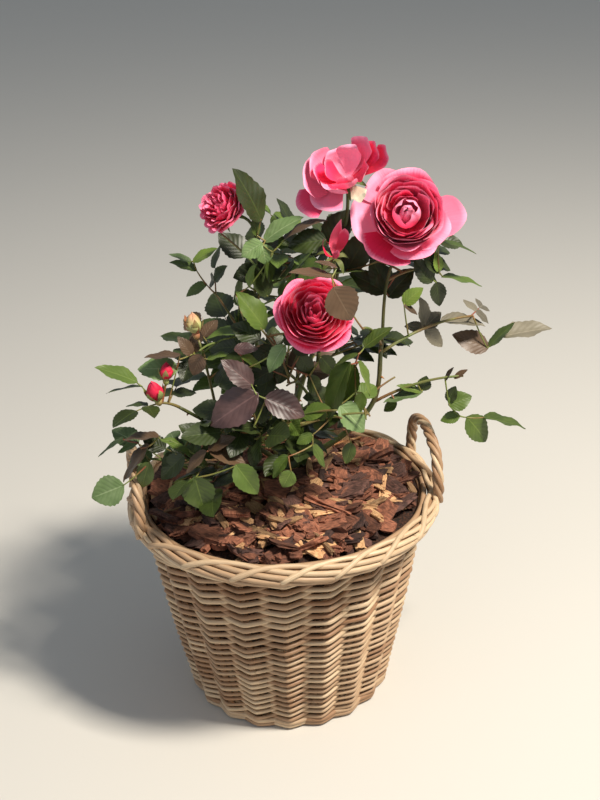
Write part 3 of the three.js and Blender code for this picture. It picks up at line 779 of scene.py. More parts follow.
@dataclass
class Basket:
    """A round basket woven of willow rods on upright stakes, with a rolled border and two rope handles.

    Its sizes are the bands of weave, the rows at the foot, the stakes' radius, ends and distance inside the
    wall, how deep a weaver tucks in and at which shares of half a stroke it bends, how far the foot's strokes
    reach, the rings and the sticks of the base, the border's rods and the rope.
    """

    bands: tuple[Band, ...] = (Band(14, 118, 7.6, 2.1), Band(122, 212, 8.9, 2.55))
    foot: Band = Band(4.2, 11, 4.6, 2.7)
    stake: float = 3.2
    stake_low: float = 4.0
    stake_high: float = 212.0
    setback: float = 9.2
    depth: float = 8.0
    half_stroke: tuple = (0, 0.08, 0.2, 0.35, 0.5, 0.62, 0.8, 1)
    foot_reach: float = 1.5
    base: Band = Band(8, FOOT_RADIUS - 4, 5.1, 2.3)
    base_height: float = 3.2
    sticks: int = 8
    stick: float = 2.6
    stick_height: float = 5.6
    border_rod: float = 2.95
    rope: Handle = Handle()
    seed: int = 7
    rand: Stream = field(init=False)

    def __post_init__(self) -> None:
        """Starts the basket's stream of chance."""
        self.rand = Stream(self.seed)

    def stroke(self, patch: Patchwork, band: Band, z: float, stake: int, reach: float) -> None:
        """One stroke of a weaver: bent over one stake and tucked behind its neighbours, rising to the right.

        Args:
            patch: Where the rod is laid.
            band: The band that it belongs to.
            z: Its height where it passes the stake.
            stake: Which stake it passes in front of.
            reach: How far it runs to each side, in stakes.
        """
        half = np.array(self.half_stroke)
        s = np.concatenate((-half[:0:-1], half)) * reach
        angle = 2 * np.pi * (stake + s + self.rand.swing(0.02)) / STAKES
        height = z + s * band.step * 0.5 + self.rand.swing(0.4)
        tucked = 2 * (np.sqrt(np.minimum(np.abs(s), 0.75) ** 2 + 0.0016) - 0.04)
        radius = wall_radius(height) - band.rod - self.depth * tucked / reach + self.rand.swing(0.3)
        size = band.rod * self.rand.between(0.88, 1.08) * (1 - 0.1 * s * self.rand.swing())
        patch.rod(around(radius, angle, height), size, 7, 0, self.rand())

    def wall(self, look: Material) -> None:
        """The stakes, the two bands of weave, the heavier rows at the foot and the woven base.

        Args:
            look: The willow's finish.
        """
        patch = Patchwork()
        for stake in range(STAKES):
            z = np.linspace(self.stake_low, self.stake_high, 12)
            angle = 2 * np.pi * stake / STAKES + 0.006 * np.sin(z / 30 + self.rand.swing(3))
            patch.rod(around(wall_radius(z) - self.setback, angle, z), self.stake, 7, 0, 0.1 * self.rand())
        for band in self.bands:
            for z in np.arange(band.low, band.high, band.step):
                for stake in range(STAKES):
                    self.stroke(patch, band, z, stake, 1.0)
        for z in np.arange(self.foot.low, self.foot.high, self.foot.step):
            for stake in range(STAKES):
                self.stroke(patch, Band(z, z, 0.6, self.foot.rod), z, stake, self.foot_reach)
        self.underside(patch)
        patch.build("basket_weave", [look], ["basket_wall"], "willow", True)

    def underside(self, patch: Patchwork) -> None:
        """The woven base: rings of rod that wave over and under crossed sticks.

        Args:
            patch: Where its rods are laid.
        """
        turn = np.linspace(0, 2 * np.pi, 61)
        for number, radius in enumerate(np.arange(self.base.low, self.base.high, self.base.step)):
            wave = 0.5 * np.sin(turn * self.sticks + np.pi * number)
            ring = around(np.full(len(turn), radius), turn, self.base_height + wave)
            patch.rod(ring, self.base.rod, 6, 0, self.rand())
        for number in range(self.sticks):
            across = np.linspace(-1, 1, 9) * (FOOT_RADIUS - 6)
            line = around(across, np.pi * number / self.sticks, self.stick_height)
            patch.rod(line, self.stick, 6, 0, 0.4)

    def border(self, look: Material) -> None:
        """The border: each stake elbows to the right, climbs over the ring and sinks along its outside.

        Args:
            look: The willow's finish.
        """
        course = Path.through(BORDER_COURSE)
        patch = Patchwork()
        for roll, lift in BORDER_CORE:
            turn = np.linspace(0, 2 * np.pi, 121)
            lift = lift + 0.4 * np.sin(turn * 10 + roll)
            out = BORDER_RING + lift * np.cos(math.radians(roll))
            high = BORDER_HEIGHT + lift * np.sin(math.radians(roll))
            patch.rod(around(out, turn, high), self.border_rod, 8, 0, 0.4 * self.rand())
        for stake in range(STAKES):
            step, roll, lift = course.at(np.linspace(0, 1, 44)).T
            wander = 2.5 * np.sin(step * 2.2 + self.rand.swing(3))
            angle = 2 * np.pi * (stake + step + self.rand.swing(0.06)) / STAKES
            lift = lift + self.rand.swing(0.3)
            out = BORDER_RING + lift * np.cos(np.radians(roll + wander))
            line = around(out, angle, BORDER_HEIGHT + lift * np.sin(np.radians(roll + wander)))
            size = self.border_rod * np.linspace(1.06, 0.82, 44) * self.rand.between(0.9, 1.05)
            patch.rod(line, size, 8, 0, 0.35 + 0.65 * self.rand())
        patch.build("basket_border_rods", [look], ["basket_border"], "willow", True)

    def handle(self, name: str, degrees: float, look: Material) -> None:
        """A handle: rods twisted into a rope, arched up from the border.

        Args:
            name: The part's node that it stands for.
            degrees: Where round the ring it stands.
            look: Its finish.
        """
        rope = self.rope
        angle = math.radians(degrees)
        out = np.array([math.cos(angle), math.sin(angle), 0]) * (BORDER_RING + rope.outward)
        along = np.array([-math.sin(angle), math.cos(angle), 0]) * rope.half_width
        heights = [rope.foot + (rope.top - rope.foot) * up for _, up in rope.arch]
        points = [out + along * aside + np.array([0, 0, z]) for (aside, _), z in zip(rope.arch, heights)]
        share = np.linspace(0, 1, 84)
        line = Path.through(points).at(share)
        normals, across = frames_along(line)
        patch = Patchwork()
        for strand in range(rope.strands):
            twist = 2 * np.pi * (strand / rope.strands - rope.turns * share)
            swell = rope.core + 0.35 * np.sin(9 * share + 2 * strand)
            offset = np.cos(twist)[:, None] * normals + np.sin(twist)[:, None] * across
            patch.rod(line + offset * swell[:, None], rope.rod + 0.3 * self.rand(), 8, 0, self.rand())
        patch.build(name + "_rope", [look], [name], "willow", True)

    def build(self) -> None:
        """Builds every rod of the basket."""
        look = Willow().material()
        self.wall(look)
        self.border(look)
        for name, degrees in HANDLES.items():
            self.handle(name, degrees, look)


# What fills it


def mulch_top(x: Array, y: Array) -> Array:
    """Height of the mulch at a point."""
    spread = (x * x + y * y) / MULCH_RADIUS**2
    return MULCH_EDGE + MULCH_DOME * (1 - spread) + MULCH_SLOPE * (x + y)


@dataclass
class Mulch:
    """Bark chips heaped on a bed of compost, over the root ball.

    Its sizes are how many chips and slivers there are, of how many shapes, how far out and how high they are
    heaped, the bed's radius and depth below the chips, and the ball's foot and distance from the wall.
    """

    chips: int = 620
    slivers: int = 46
    shapes: int = 14
    spread: float = 137.0
    heap: float = 5.5
    bed_radius: float = 141.0
    bed_depth: float = 4.0
    ball_foot: float = 10.5
    ball_gap: float = 12.4
    seed: int = 41
    rand: Stream = field(init=False)

    def __post_init__(self) -> None:
        """Starts the mulch's stream of chance."""
        self.rand = Stream(self.seed)

    def chip(self) -> tuple[Sheet, Array]:
        """A block of size one, each side cut in three, whose corners are moved later.

        Returns:
            Its faces, and its corners.
        """
        bm = bmesh.new()
        bmesh.ops.create_cube(bm, size=1)
        bmesh.ops.subdivide_edges(bm, edges=bm.edges, cuts=2, use_grid_fill=True)
        bm.verts.index_update()
        corners = np.array([v.co[:] for v in bm.verts])
        faces = np.array([[v.index for v in f.verts] for f in bm.faces])
        bm.free()
        return Sheet(corners[:, 0] + 0.5, corners[:, 1] + 0.5, faces), corners

    def splintered(self, block: Array) -> Array:
        """A chip's shape at length one: ragged ends, uneven sides and a slight bend.

        Args:
            block: The corners of a plain block.

        Returns:
            Its corners.
        """
        corners = block.copy()
        jitter = np.array([[self.rand.swing() for _ in range(3)] for _ in corners])
        corners += jitter * np.array([0.07, 0.1, 0.12])
        corners[:, 1] *= 1 - 0.7 * np.abs(corners[:, 0]) * self.rand()
        corners[:, 2] += self.rand.swing(0.9) * corners[:, 0] ** 2
        return corners

    def soil(self) -> None:
        """Builds the bed under the chips and the root ball under the bed."""
        soil = Soil().material()
        bed = Patchwork()
        cut = sheet(48, 14)
        points = around(self.bed_radius * np.minimum(cut.v * 1.08, 1), 2 * np.pi * cut.u, 0.0)
        x, y = points[:, 0], points[:, 1]
        rough = 1.8 * np.sin(x / 7) * np.cos(y / 9)
        points[:, 2] = np.where(cut.v > 0.95, FILL_TOP, mulch_top(x, y) - self.bed_depth + rough)
        bed.lay(cut, points)
        bed.build("mulch_bed", [soil], ["bark_mulch"], "bark", True)
        ball = Patchwork()
        z = np.linspace(self.ball_foot, FILL_TOP, 14)
        axis = np.stack((np.zeros(len(z)), np.zeros(len(z)), z), 1)
        ball.rod(axis, wall_radius(z) - self.ball_gap, 48, 0, 0.5)
        ball.build("root_ball_soil", [soil], ["root_ball"], "compost", True)

    def build(self) -> None:
        """Builds the root ball, the bed and the chips."""
        self.soil()
        looks = [
            Bark("bark_red", "a0664c", "5a3628").material(),
            Bark("bark_dark", "6c4a40", "32201a").material(),
            Bark("bark_tan", "d6ae80", "986e4a").material(),
        ]
        red, dark, tan = range(len(looks))
        cut, block = self.chip()
        variants = [self.splintered(block) for _ in range(self.shapes)]
        patch = Patchwork()
        for number in range(self.chips + self.slivers):
            sliver = number >= self.chips
            length = self.rand.between(38, 62) if sliver else 12 + 36 * self.rand() ** 1.7
            slim = 0.12 if sliver else self.rand.between(0.32, 0.72)
            size = np.array([length, length * slim, self.rand.between(2.4, 6.0) * (0.7 if sliver else 1.0)])
            shape = variants[number % self.shapes] * size
            look = tan if sliver else self.rand.pick({red: 0.56, dark: 0.34, tan: 0.1})
            uv = np.stack((cut.u * length / PATTERN, cut.v), 1)
            patch.lay(cut, self.dropped(shape, number / self.chips, length), look, self.rand(), uv)
        patch.build("bark_chips", looks, ["bark_mulch"], "bark", False, False)

    def dropped(self, shape: Array, order: float, length: float) -> Array:
        """A chip dropped on the heap: turned, leant and moved to its place.

        Args:
            shape: Its corners.
            order: How late it falls: up to 1, later ones lie higher.
            length: Its length.

        Returns:
            Its corners on the heap.
        """
        radius, angle = (self.spread - 0.33 * length) * self.rand() ** 0.42, 2 * math.pi * self.rand()
        x, y = radius * math.cos(angle), radius * math.sin(angle)
        lean = 0.9 if self.rand() < 0.2 else 0.42
        tip = Vector((self.rand.swing(lean), self.rand.swing(lean), 1))
        matrix = np.array(Vector((0, 0, 1)).rotation_difference(tip).to_matrix())
        yaw = 2 * math.pi * self.rand()
        spun = np.array([[math.cos(yaw), -math.sin(yaw), 0], [math.sin(yaw), math.cos(yaw), 0], [0, 0, 1]])
        heap = self.heap * min(order, 1.0) - 0.5
        return shape @ (matrix @ spun).T + np.array([x, y, float(mulch_top(x, y)) + heap])


# Canes


@dataclass(frozen=True)
class Cane:
    """One cane: the points that it follows from the crown, and its solid's radius at foot and tip."""

    path: tuple
    foot: float
    tip: float


CANES = {
    "cane_right": Cane(((14, 17, 250), (54, 9, 275), (93, 1, 322), (101, 0, 388)), 5.2, 3.3),
    "cane_centre": Cane(((9, 10, 254), (22, -6, 300), (34, -24, 352), (39, -36, 394)), 4.6, 3),
    "cane_top": Cane(((6, 27, 259), (19, 31, 320), (42, 28, 388), (56, 20, 438)), 5, 3),
    "cane_left_top": Cane(((-3, 26, 256), (-15, 26, 320), (-22, 17, 388), (-21, 9, 434)), 4.6, 2.8),
    "cane_left": Cane(((-6, 18, 250), (-40, 3, 284), (-74, -16, 314), (-98, -28, 336)), 4, 2.4),
    "cane_left_low": Cane(((-8, 14, 243), (-45, -13, 257), (-84, -38, 268)), 3.6, 2.4),
    "cane_back": Cane(((9, 36, 248), (15, 61, 288), (20, 84, 344)), 4.6, 2.8),
    "cane_front": Cane(((1, 9, 247), (-2, -18, 271), (-8, -44, 296)), 3.8, 2.4),
}


@dataclass(frozen=True)
class Limb:
    """A limb that something grows from: its course and its radius at foot and tip."""

    course: Path
    foot: float
    tip: float

    def radius(self, share: float | Array) -> float | Array:
        """Its radius at a share of its length."""
        return self.foot + (self.tip - self.foot) * share


@dataclass
class Canes:
    """The graft knob and the canes that leave it, slimmer than their solids, with their prickles.

    Its sizes are a prickle's length, how far apart they are, how slim a cane is against its solid, and the
    knob's radii at a few heights.
    """

    seed: int = 23
    prickle: float = 4.2
    apart: float = 17.0
    slim: float = 0.66
    knob_heights: tuple = (201, 214, 222, 230, 238, 244, 250, 255, 259)
    knob_radii: tuple = (11, 11, 12.5, 15, 15.6, 15.2, 14, 11, 7)
    rand: Stream = field(init=False)

    def __post_init__(self) -> None:
        """Starts the canes' stream of chance."""
        self.rand = Stream(self.seed)

    def prickles(self, patch: Patchwork, limb: Limb, finish: int) -> None:
        """Hooked prickles along a limb, each turned on from the last.

        Args:
            patch: Where they are laid.
            limb: The limb.
            finish: Their finish.
        """
        count = int(limb.course.length / self.apart)
        for number in range(count):
            share = (number + 0.3 + 0.6 * self.rand()) / count
            along = limb.course.along(share)
            side = unit(np.cross(along, [math.cos(number * GOLDEN), math.sin(number * GOLDEN), 0.3]))
            foot = limb.course.at(share) + side * limb.radius(share) * 0.8
            length = self.prickle * self.rand.between(0.6, 1.1)
            line = np.array([foot, foot + side * length * 0.5, foot + side * length - along * length * 0.35])
            patch.rod(line, np.array([1.5, 0.8, 0.08]), 5, finish, self.rand())

    def knob(self, looks: list[Material]) -> None:
        """Builds the graft knob.

        Args:
            looks: The finishes of bark and prickles.
        """
        knob = Patchwork()
        count = len(self.knob_heights)
        axis = np.stack((np.full(count, CROWN[0]), np.full(count, CROWN[1]), self.knob_heights), 1)

        def knotted(t: Array, a: Array) -> Array:
            """The knob's radius, with its lumps."""
            radius = np.interp(t, np.linspace(0, 1, count), self.knob_radii)
            return radius * (0.95 + 0.06 * np.sin(3 * a + 9 * t))

        knob.rod(axis, knotted, 18, 0, 0.3)
        knob.build("stem_base_bark", looks, ["stem_base"], "cane", True)

    def build(self) -> dict[str, Limb]:
        """Builds the knob and the canes.

        Returns:
            The canes by name.
        """
        bark = Stem("cane_bark", "45542a", "565028").material()
        looks = [bark, Stem("prickle", "8a4a34", "b07a4c", 0.4).material()]
        self.knob(looks)
        limbs = {}
        for name, cane in CANES.items():
            limbs[name] = Limb(Path.through(cane.path), cane.foot * self.slim, cane.tip * self.slim)
            line = limbs[name].course.at(np.linspace(0, 1, 30))
            phase = self.rand.swing(3)

            def skin(t: Array, a: Array) -> Array:
                """The cane's radius, with its nodes and its unevenness."""
                nodes = 0.09 * np.exp(-((((t * 6 + phase) % 1) - 0.5) ** 2) * 70)
                return limbs[name].radius(t) * (0.97 + nodes + 0.03 * np.sin(2 * a + 7 * t))

            patch = Patchwork()
            patch.rod(line, skin, 10, 0, self.rand())
            self.prickles(patch, limbs[name], 1)
            patch.build(name + "_bark", looks, [name], "cane", True)
        return limbs


# Leaves


class Tone(Enum):
    """What a leaf looks like, in the order of the leaves' finishes. DARK, MID and BRIGHT are partly the
    leaves' own greens and partly painted light: DARK is painted shade for leaves inside the crown, BRIGHT
    painted sunlight. PALE is partly painted sheen, a dull pale green standing for the gloss on lit leaflets,
    over a paler grey-green of their own.
    """

    DARK = 0
    MID = 1
    BRIGHT = 2
    BRONZE = 3
    PURPLE = 4
    PALE = 5
    GREY = 6


# DARK, MID and BRIGHT: one rose green in shade, half light and full sun, partly painted light; PALE: partly
# painted sheen.
LEAVES = (
    Leaf("leaf_dark", "2b3613", "4e5e28", "5c7436"),
    Leaf("leaf_mid", "475a20", "76883e", "768e4c"),
    Leaf("leaf_bright", "62782c", "8c9e4c", "7f964c"),
    Leaf("leaf_bronze", "503c2a", "74604a", "6e604a"),
    Leaf("leaf_purple", "46302e", "80605c", "7a5e58", 0.44, 0.14),
    Leaf("leaf_pale", "627a48", "a2b286", "96a67c", 0.55, 0.0),
    Leaf("leaf_grey", "6e6858", "98907e", "8c8674", 0.5, 0.0),
)


# A compound leaf's sizes, in full leaflets: its bare stalk, the step between pairs and its end leaflet; and
# how far a leaf's tip droops, as a share of its length.
STALK, PAIR_STEP, END_LEAFLET = 0.5, 0.5, 1.05
DROOP = 0.16


@dataclass(frozen=True)
class Leaflet:
    """One leaflet: its foot, the way it points and faces, its length and its width."""

    foot: Array
    ahead: Array
    normal: Array
    length: float
    width: float

    def point(self, share: float) -> Array:
        """A point along its midrib."""
        return self.foot + self.ahead * self.length * share


def facing_up(ahead: Array, lean: Array) -> Array:
    """The way a leaf that points ahead faces: up, and as far as it can along a lean."""
    normal = lean + np.array([0.0, 0.0, 1.0])
    return unit(normal - np.dot(normal, ahead) * ahead)


@dataclass(frozen=True)
class Blade:
    """One compound leaf: where it starts, the way it points and faces, and its sizes."""

    base: Array
    direction: Array
    normal: Array
    size: float
    pairs: int
    stalk: float
    droop: float

    def hang(self, x: Array, y: Array = 0.0) -> Array:
        """How far the leaf hangs under its own plane at a place in it."""
        length = self.stalk + (self.pairs * PAIR_STEP + END_LEAFLET) * self.size
        return self.droop * (x * x + y * y) / length

    def spot(self, x: float, y: float) -> Array:
        """The point at a place in the leaf's plane."""
        across = np.cross(self.normal, self.direction)
        return self.base + self.direction * x + across * y - self.normal * self.hang(x, y)

    def leaflets(self) -> list[Leaflet]:
        """Its leaflets: pairs to the sides, each pair longer than the last, and one at the end.

        Returns:
            The leaflets, the end one last.
        """
        sides = [(k, side) for k in range(self.pairs) for side in (-1, 1)]
        rows = [(k, side * math.radians(64 - 10 * k), 0.8 + 0.1 * k) for k, side in sides]
        found = []
        for k, angle, share in [*rows, (self.pairs, 0.0, END_LEAFLET)]:
            foot, length = self.stalk + k * PAIR_STEP * self.size, self.size * share
            start = self.spot(foot, 0.0)
            end = self.spot(foot + length * math.cos(angle), length * math.sin(angle))
            found.append(Leaflet(start, unit(end - start), self.normal, length, 0.72 * length))
        return found


def bare_length(pairs: int) -> float:
    """Length of a compound leaf with its shortest stalk, in full leaflets."""
    return STALK + pairs * PAIR_STEP + END_LEAFLET


def blade(base: Array, ahead: Array, size: float, pairs: int, tilt: Array, total: float = 0.0) -> Blade:
    """A leaf from a point on its twig, turned out and up to the light.

    Args:
        base: Where it leaves its twig.
        ahead: The way it points.
        size: Length of a full leaflet.
        pairs: Pairs of leaflets under the end one.
        tilt: What chance adds to the way it faces.
        total: The length that it has to reach, if it has one: such a leaf doesn't droop.

    Returns:
        The leaf.
    """
    ahead = unit(ahead)
    outward = unit(np.array([base[0] - CROWN[0], base[1] - CROWN[1], 0.0])) * 0.6
    stalk = size * STALK + max(0.0, total - size * bare_length(pairs))
    return Blade(base, ahead, facing_up(ahead, outward + tilt), size, pairs, stalk, 0.0 if total else DROOP)


@dataclass(frozen=True)
class Mass:
    """A mass of foliage.

    It has the limb that its stem leaves and where, the stem's end, how many leaves and twigs the stem
    carries, a full leaflet's length, how often each tone turns up among its leaves, the tips that its outer
    leaves reach, how far its leaves keep to its stem and how many more twigs it grows here. Last are the
    leaflets that the photograph shows one by one: foot, tip, width as seen and tone. The tones are partly
    painted light: a leaflet in shade takes a dark tone, one in sun a bright or pale one.
    """

    limb: str
    at: float
    end: tuple
    leaves: int
    leaflet: float
    tones: dict
    twigs: int = 0
    reach: tuple = ()
    spread: float = 104.0
    more: int = 1
    shown: tuple = ()


DARK, MID, BRIGHT, BRONZE, PURPLE, PALE, GREY = Tone

# Masses deep in the crown mostly take DARK leaves: painted shade, where the crown shades its inner leaves.
MASSES = {
    "foliage_right_high": Mass(
        "cane_right", 0.93, (196, 44, 394), leaves=1, leaflet=34, tones={GREY: 3, MID: 1},
        spread=62, more=0,
        shown=(
            ((120, -16, 432), (137, -18, 449), 15, BRIGHT), ((120, -20, 433), (134, -22, 424), 8, BRONZE),
            ((146, 30, 389), (143, 30, 421), 14, GREY), ((146, 30, 389), (162, 32, 404), 16, GREY),
            ((146, 30, 388), (126, 30, 391), 12, GREY), ((146, 30, 388), (166, 30, 367), 16, GREY),
            ((163, 44, 389), (210, 46, 388), 18, GREY), ((214, 48, 356), (177, 46, 374), 24, BRONZE),
            ((214, 50, 356), (239, 54, 383), 14, MID), ((228, 54, 366), (280, 60, 374), 22, GREY),
        ),
    ),
    "foliage_right_low": Mass(
        "cane_right", 0.62, (182, 0, 348), leaves=0, leaflet=34,
        tones={MID: 3, BRIGHT: 1, BRONZE: 1}, spread=62, more=0,
        shown=(
            ((142, 0, 332), (116, 0, 340), 12, BRIGHT), ((142, 2, 332), (146, 4, 347), 14, DARK),
            ((142, -4, 333), (102, -4, 328), 13, PALE), ((116, -6, 324), (102, -6, 315), 11, MID),
            ((168, 2, 319), (175, 2, 336), 12, DARK), ((168, 0, 316), (191, 0, 326), 20, MID),
            ((180, -2, 305), (160, -2, 301), 13, MID), ((186, -4, 305), (210, -6, 276), 25, MID),
            ((203, 0, 302), (248, 0, 291), 16, MID), ((164, 0, 343), (171, -2, 359), 6, BRONZE),
            ((173, 0, 345), (185, 0, 356), 6, BRONZE),
        ),
    ),
    # Mostly DARK: painted shade under the upper-right bloom.
    "foliage_upper_right": Mass(
        "bloom_upper_right", 0.5, (142, 16, 456), leaves=2, leaflet=38, tones={DARK: 4, MID: 1},
        spread=80, more=2,
        shown=(
            ((153, 8, 485), (193, 10, 477), 11, MID), ((157, 8, 453), (140, 8, 482), 16, DARK),
            ((156, 6, 455), (154, 6, 475), 9, BRIGHT), ((159, 10, 449), (199, 10, 442), 11, MID),
            ((154, 8, 445), (158, 8, 419), 16, DARK), ((149, 4, 445), (132, 4, 471), 19, DARK),
            ((106, 14, 433), (72, 18, 454), 24, DARK), ((108, 20, 431), (93, 22, 466), 24, DARK),
            ((108, 16, 427), (132, 18, 456), 24, DARK), ((68, 24, 452), (90, 26, 492), 28, DARK),
        ),
    ),
    "foliage_top": Mass(
        "cane_left_top", 0.9, (-2, -6, 484), leaves=3, twigs=1, leaflet=42, tones={DARK: 5, MID: 1},
        spread=80, more=4,
        shown=(
            ((-11, -5, 493), (-32, -8, 482), 20, PALE), ((-11, -6, 492), (-8, -8, 472), 18, PALE),
            ((-11, -3, 513), (-30, -10, 566), 24, DARK), ((-16, 0, 498), (-18, -1, 516), 9, MID),
            ((-10, 0, 492), (24, 2, 519), 20, PALE), ((8, -4, 494), (45, -4, 520), 14, BRONZE),
            ((49, -4, 494), (12, -6, 491), 25, DARK), ((51, 24, 480), (70, 28, 513), 28, DARK),
        ),
    ),
    "foliage_back_left": Mass(
        "cane_left_top", 0.5, (-62, 40, 428), leaves=2, leaflet=32,
        tones={MID: 2, BRIGHT: 1, DARK: 2}, spread=60, more=0,
        shown=(
            ((-82, 45, 459), (-58, 45, 474), 12, BRIGHT), ((-83, 45, 459), (-104, 46, 470), 9, PALE),
            ((-78, 45, 450), (-103, 46, 463), 11, MID), ((-69, 44, 436), (-92, 44, 425), 13, MID),
        ),
    ),
    "foliage_collar": Mass(
        "cane_right", 0.98, (78, -74, 432), leaves=0, leaflet=38, tones={BRONZE: 3, MID: 1},
        more=0,
        shown=(
            ((52, -92, 488), (14, -96, 499), 16, BRONZE), ((56, -84, 494), (36, -86, 502), 8, BRONZE),
            ((51, -110, 486), (67, -114, 456), 30, BRONZE),
        ),
    ),
    "foliage_centre": Mass(
        "cane_centre", 0.6, (-4, -56, 392), leaves=3, twigs=1, leaflet=42,
        tones={BRONZE: 1, DARK: 6, MID: 2}, spread=84, more=7,
    ),
    "foliage_centre_right": Mass(
        "cane_right", 0.45, (72, -40, 346), leaves=3, leaflet=42, tones={PALE: 1, MID: 2, DARK: 5},
        spread=76, more=5,
        shown=(
            ((67, -68, 397), (39, -74, 340), 19, MID), ((76, -62, 402), (51, -66, 396), 8, MID),
            ((74, -58, 393), (88, -60, 358), 11, BRIGHT), ((73, -50, 386), (57, -54, 344), 21, MID),
            ((56, -66, 353), (82, -70, 325), 25, PALE), ((78, -62, 363), (75, -64, 342), 11, BRIGHT),
            ((80, -50, 402), (106, -46, 423), 15, MID),
        ),
    ),
    # Mostly DARK: painted shade, for leaves shaded by the crown above.
    "foliage_heart": Mass(
        "cane_centre", 0.3, (22, -56, 308), leaves=4, leaflet=40, tones={DARK: 6, MID: 1},
        spread=84, more=9,
        shown=(
            ((10, -104, 304), (1, -108, 288), 16, BRIGHT), ((8, -100, 318), (-10, -104, 298), 13, MID),
            ((31, -84, 331), (15, -86, 323), 11, MID), ((30, -86, 322), (42, -90, 299), 12, MID),
            ((68, -60, 309), (62, -64, 287), 13, MID), ((20, -48, 397), (32, -48, 374), 16, DARK),
            ((40, -44, 393), (55, -44, 373), 16, DARK), ((7, -52, 390), (-1, -52, 368), 14, DARK),
            ((29, -50, 377), (38, -50, 352), 15, DARK),
        ),
    ),
    "foliage_left_front": Mass(
        "cane_left_low", 0.6, (-74, -70, 288), leaves=3, leaflet=40, tones={MID: 3, DARK: 4},
        spread=74, more=4,
        shown=(
            ((-80, -104, 301), (-73, -110, 267), 30, MID), ((-41, -112, 317), (-21, -120, 288), 22, MID),
        ),
    ),
    "foliage_front_low": Mass(
        "cane_front", 1, (-24, -72, 322), leaves=3, leaflet=42, tones={DARK: 6, MID: 1}, spread=84,
        more=7,
        shown=(
            ((-18, -88, 377), (-66, -94, 349), 34, PURPLE), ((-13, -88, 372), (25, -92, 356), 27, PURPLE),
            ((-23, -84, 382), (-49, -84, 410), 21, PURPLE), ((-40, -60, 409), (-18, -62, 412), 12, PURPLE),
            ((-34, -62, 404), (-13, -64, 393), 10, BRIGHT), ((8, -80, 421), (-10, -84, 396), 17, PALE),
        ),
    ),
    "foliage_left_inner": Mass(
        "cane_left", 0.3, (-52, -34, 322), leaves=3, twigs=1, leaflet=40,
        tones={BRONZE: 1, MID: 2, DARK: 4}, spread=80, more=6,
        shown=(
            ((-66, -94, 322), (-29, -98, 312), 16, BRONZE), ((-67, -92, 323), (-42, -94, 337), 14, BRONZE),
            ((-68, -94, 322), (-90, -98, 302), 13, BRONZE),
        ),
    ),
    "foliage_left_mid": Mass(
        "cane_left", 0.6, (-76, -14, 400), leaves=2, twigs=1, leaflet=38,
        tones={BRONZE: 1, DARK: 4, MID: 1}, spread=74, more=2,
        shown=(
            ((-22, -14, 408), (-69, -16, 409), 17, MID), ((-12, -20, 412), (-34, -22, 452), 21, MID),
            ((-8, 2, 436), (-20, 2, 469), 18, DARK), ((-26, -2, 448), (-20, -2, 472), 10, BRIGHT),
            ((-7, -4, 476), (-3, -6, 453), 11, MID), ((-40, 2, 440), (-12, 4, 424), 20, DARK),
        ),
    ),
    "foliage_left_tip": Mass(
        "cane_left", 1, (-116, -38, 346), leaves=2, leaflet=38, tones={MID: 3, BRONZE: 1, DARK: 2},
        spread=60, more=0,
        shown=(
            ((-134, -42, 370), (-172, -40, 390), 18, MID), ((-129, -44, 367), (-165, -44, 364), 9, DARK),
            ((-96, -28, 376), (-136, -26, 379), 24, PALE), ((-92, -30, 392), (-127, -34, 394), 12, BRONZE),
            ((-83, -20, 387), (-94, -20, 407), 12, BRONZE), ((-81, -12, 386), (-80, -14, 406), 11, BRONZE),
            ((-74, -24, 390), (-83, -30, 370), 17, BRONZE), ((-69, -20, 382), (-47, -24, 393), 10, BRIGHT),
        ),
    ),
    "foliage_left_low": Mass(
        "cane_left_low", 1, (-128, -54, 294), leaves=3, leaflet=34,
        tones={MID: 3, PALE: 1, DARK: 3}, spread=60, more=4,
        shown=(
            ((-113, -72, 324), (-83, -78, 309), 12, MID), ((-115, -60, 320), (-151, -58, 322), 11, BRONZE),
            ((-150, -56, 318), (-178, -54, 299), 10, MID), ((-136, -56, 313), (-158, -56, 303), 10, PALE),
            ((-125, -62, 313), (-158, -64, 278), 16, BRONZE), ((-151, -76, 278), (-184, -78, 266), 29, PALE),
            ((-126, -68, 298), (-137, -70, 270), 18, MID), ((-92, -70, 306), (-118, -72, 281), 20, DARK),
        ),
    ),
    "foliage_back_high": Mass(
        "cane_back", 1, (30, 92, 428), leaves=3, twigs=1, leaflet=46, tones={DARK: 3, MID: 2},
        reach=((44, 124, 466),),
    ),
    "foliage_back_low": Mass(
        "cane_back", 0.45, (-52, 100, 330), leaves=3, twigs=1, leaflet=46, tones={DARK: 2, MID: 3},
        reach=((-106, 120, 316),),
    ),
    "foliage_back_right": Mass(
        "cane_back", 0.7, (94, 84, 358), leaves=3, twigs=1, leaflet=46, tones={DARK: 2, MID: 2, BRONZE: 1},
        reach=((144, 106, 346),),
    ),
    "foliage_top_back": Mass(
        "cane_top", 0.75, (26, 62, 474), leaves=3, twigs=1, leaflet=42, tones={DARK: 3, MID: 2},
        reach=((4, 72, 514),), spread=90,
    ),
}

# Gaps that the photograph shows through the crown, each along a line of sight: x and z where the line passes
# in front of the crown, x and z where it passes behind it, and the gap's radius.
SIGHT_FRONT, SIGHT_BACK = -110, 130
GAPS = (
    ((-86, 554), (-112, 482), 32),
    ((-98, 479), (-127, 388), 24),
    ((-57, 478), (-76, 386), 9),
    ((-56, 544), (-74, 470), 10),
    ((95, 452), (113, 355), 11),
    ((116, 418), (140, 312), 9),
    ((131, 415), (159, 309), 10),
    ((171, 402), (209, 293), 18),
    ((216, 393), (265, 281), 20),
    ((195, 472), (238, 379), 11),
    ((159, 505), (194, 421), 8),
    ((-16, 594), (-24, 532), 14),
)


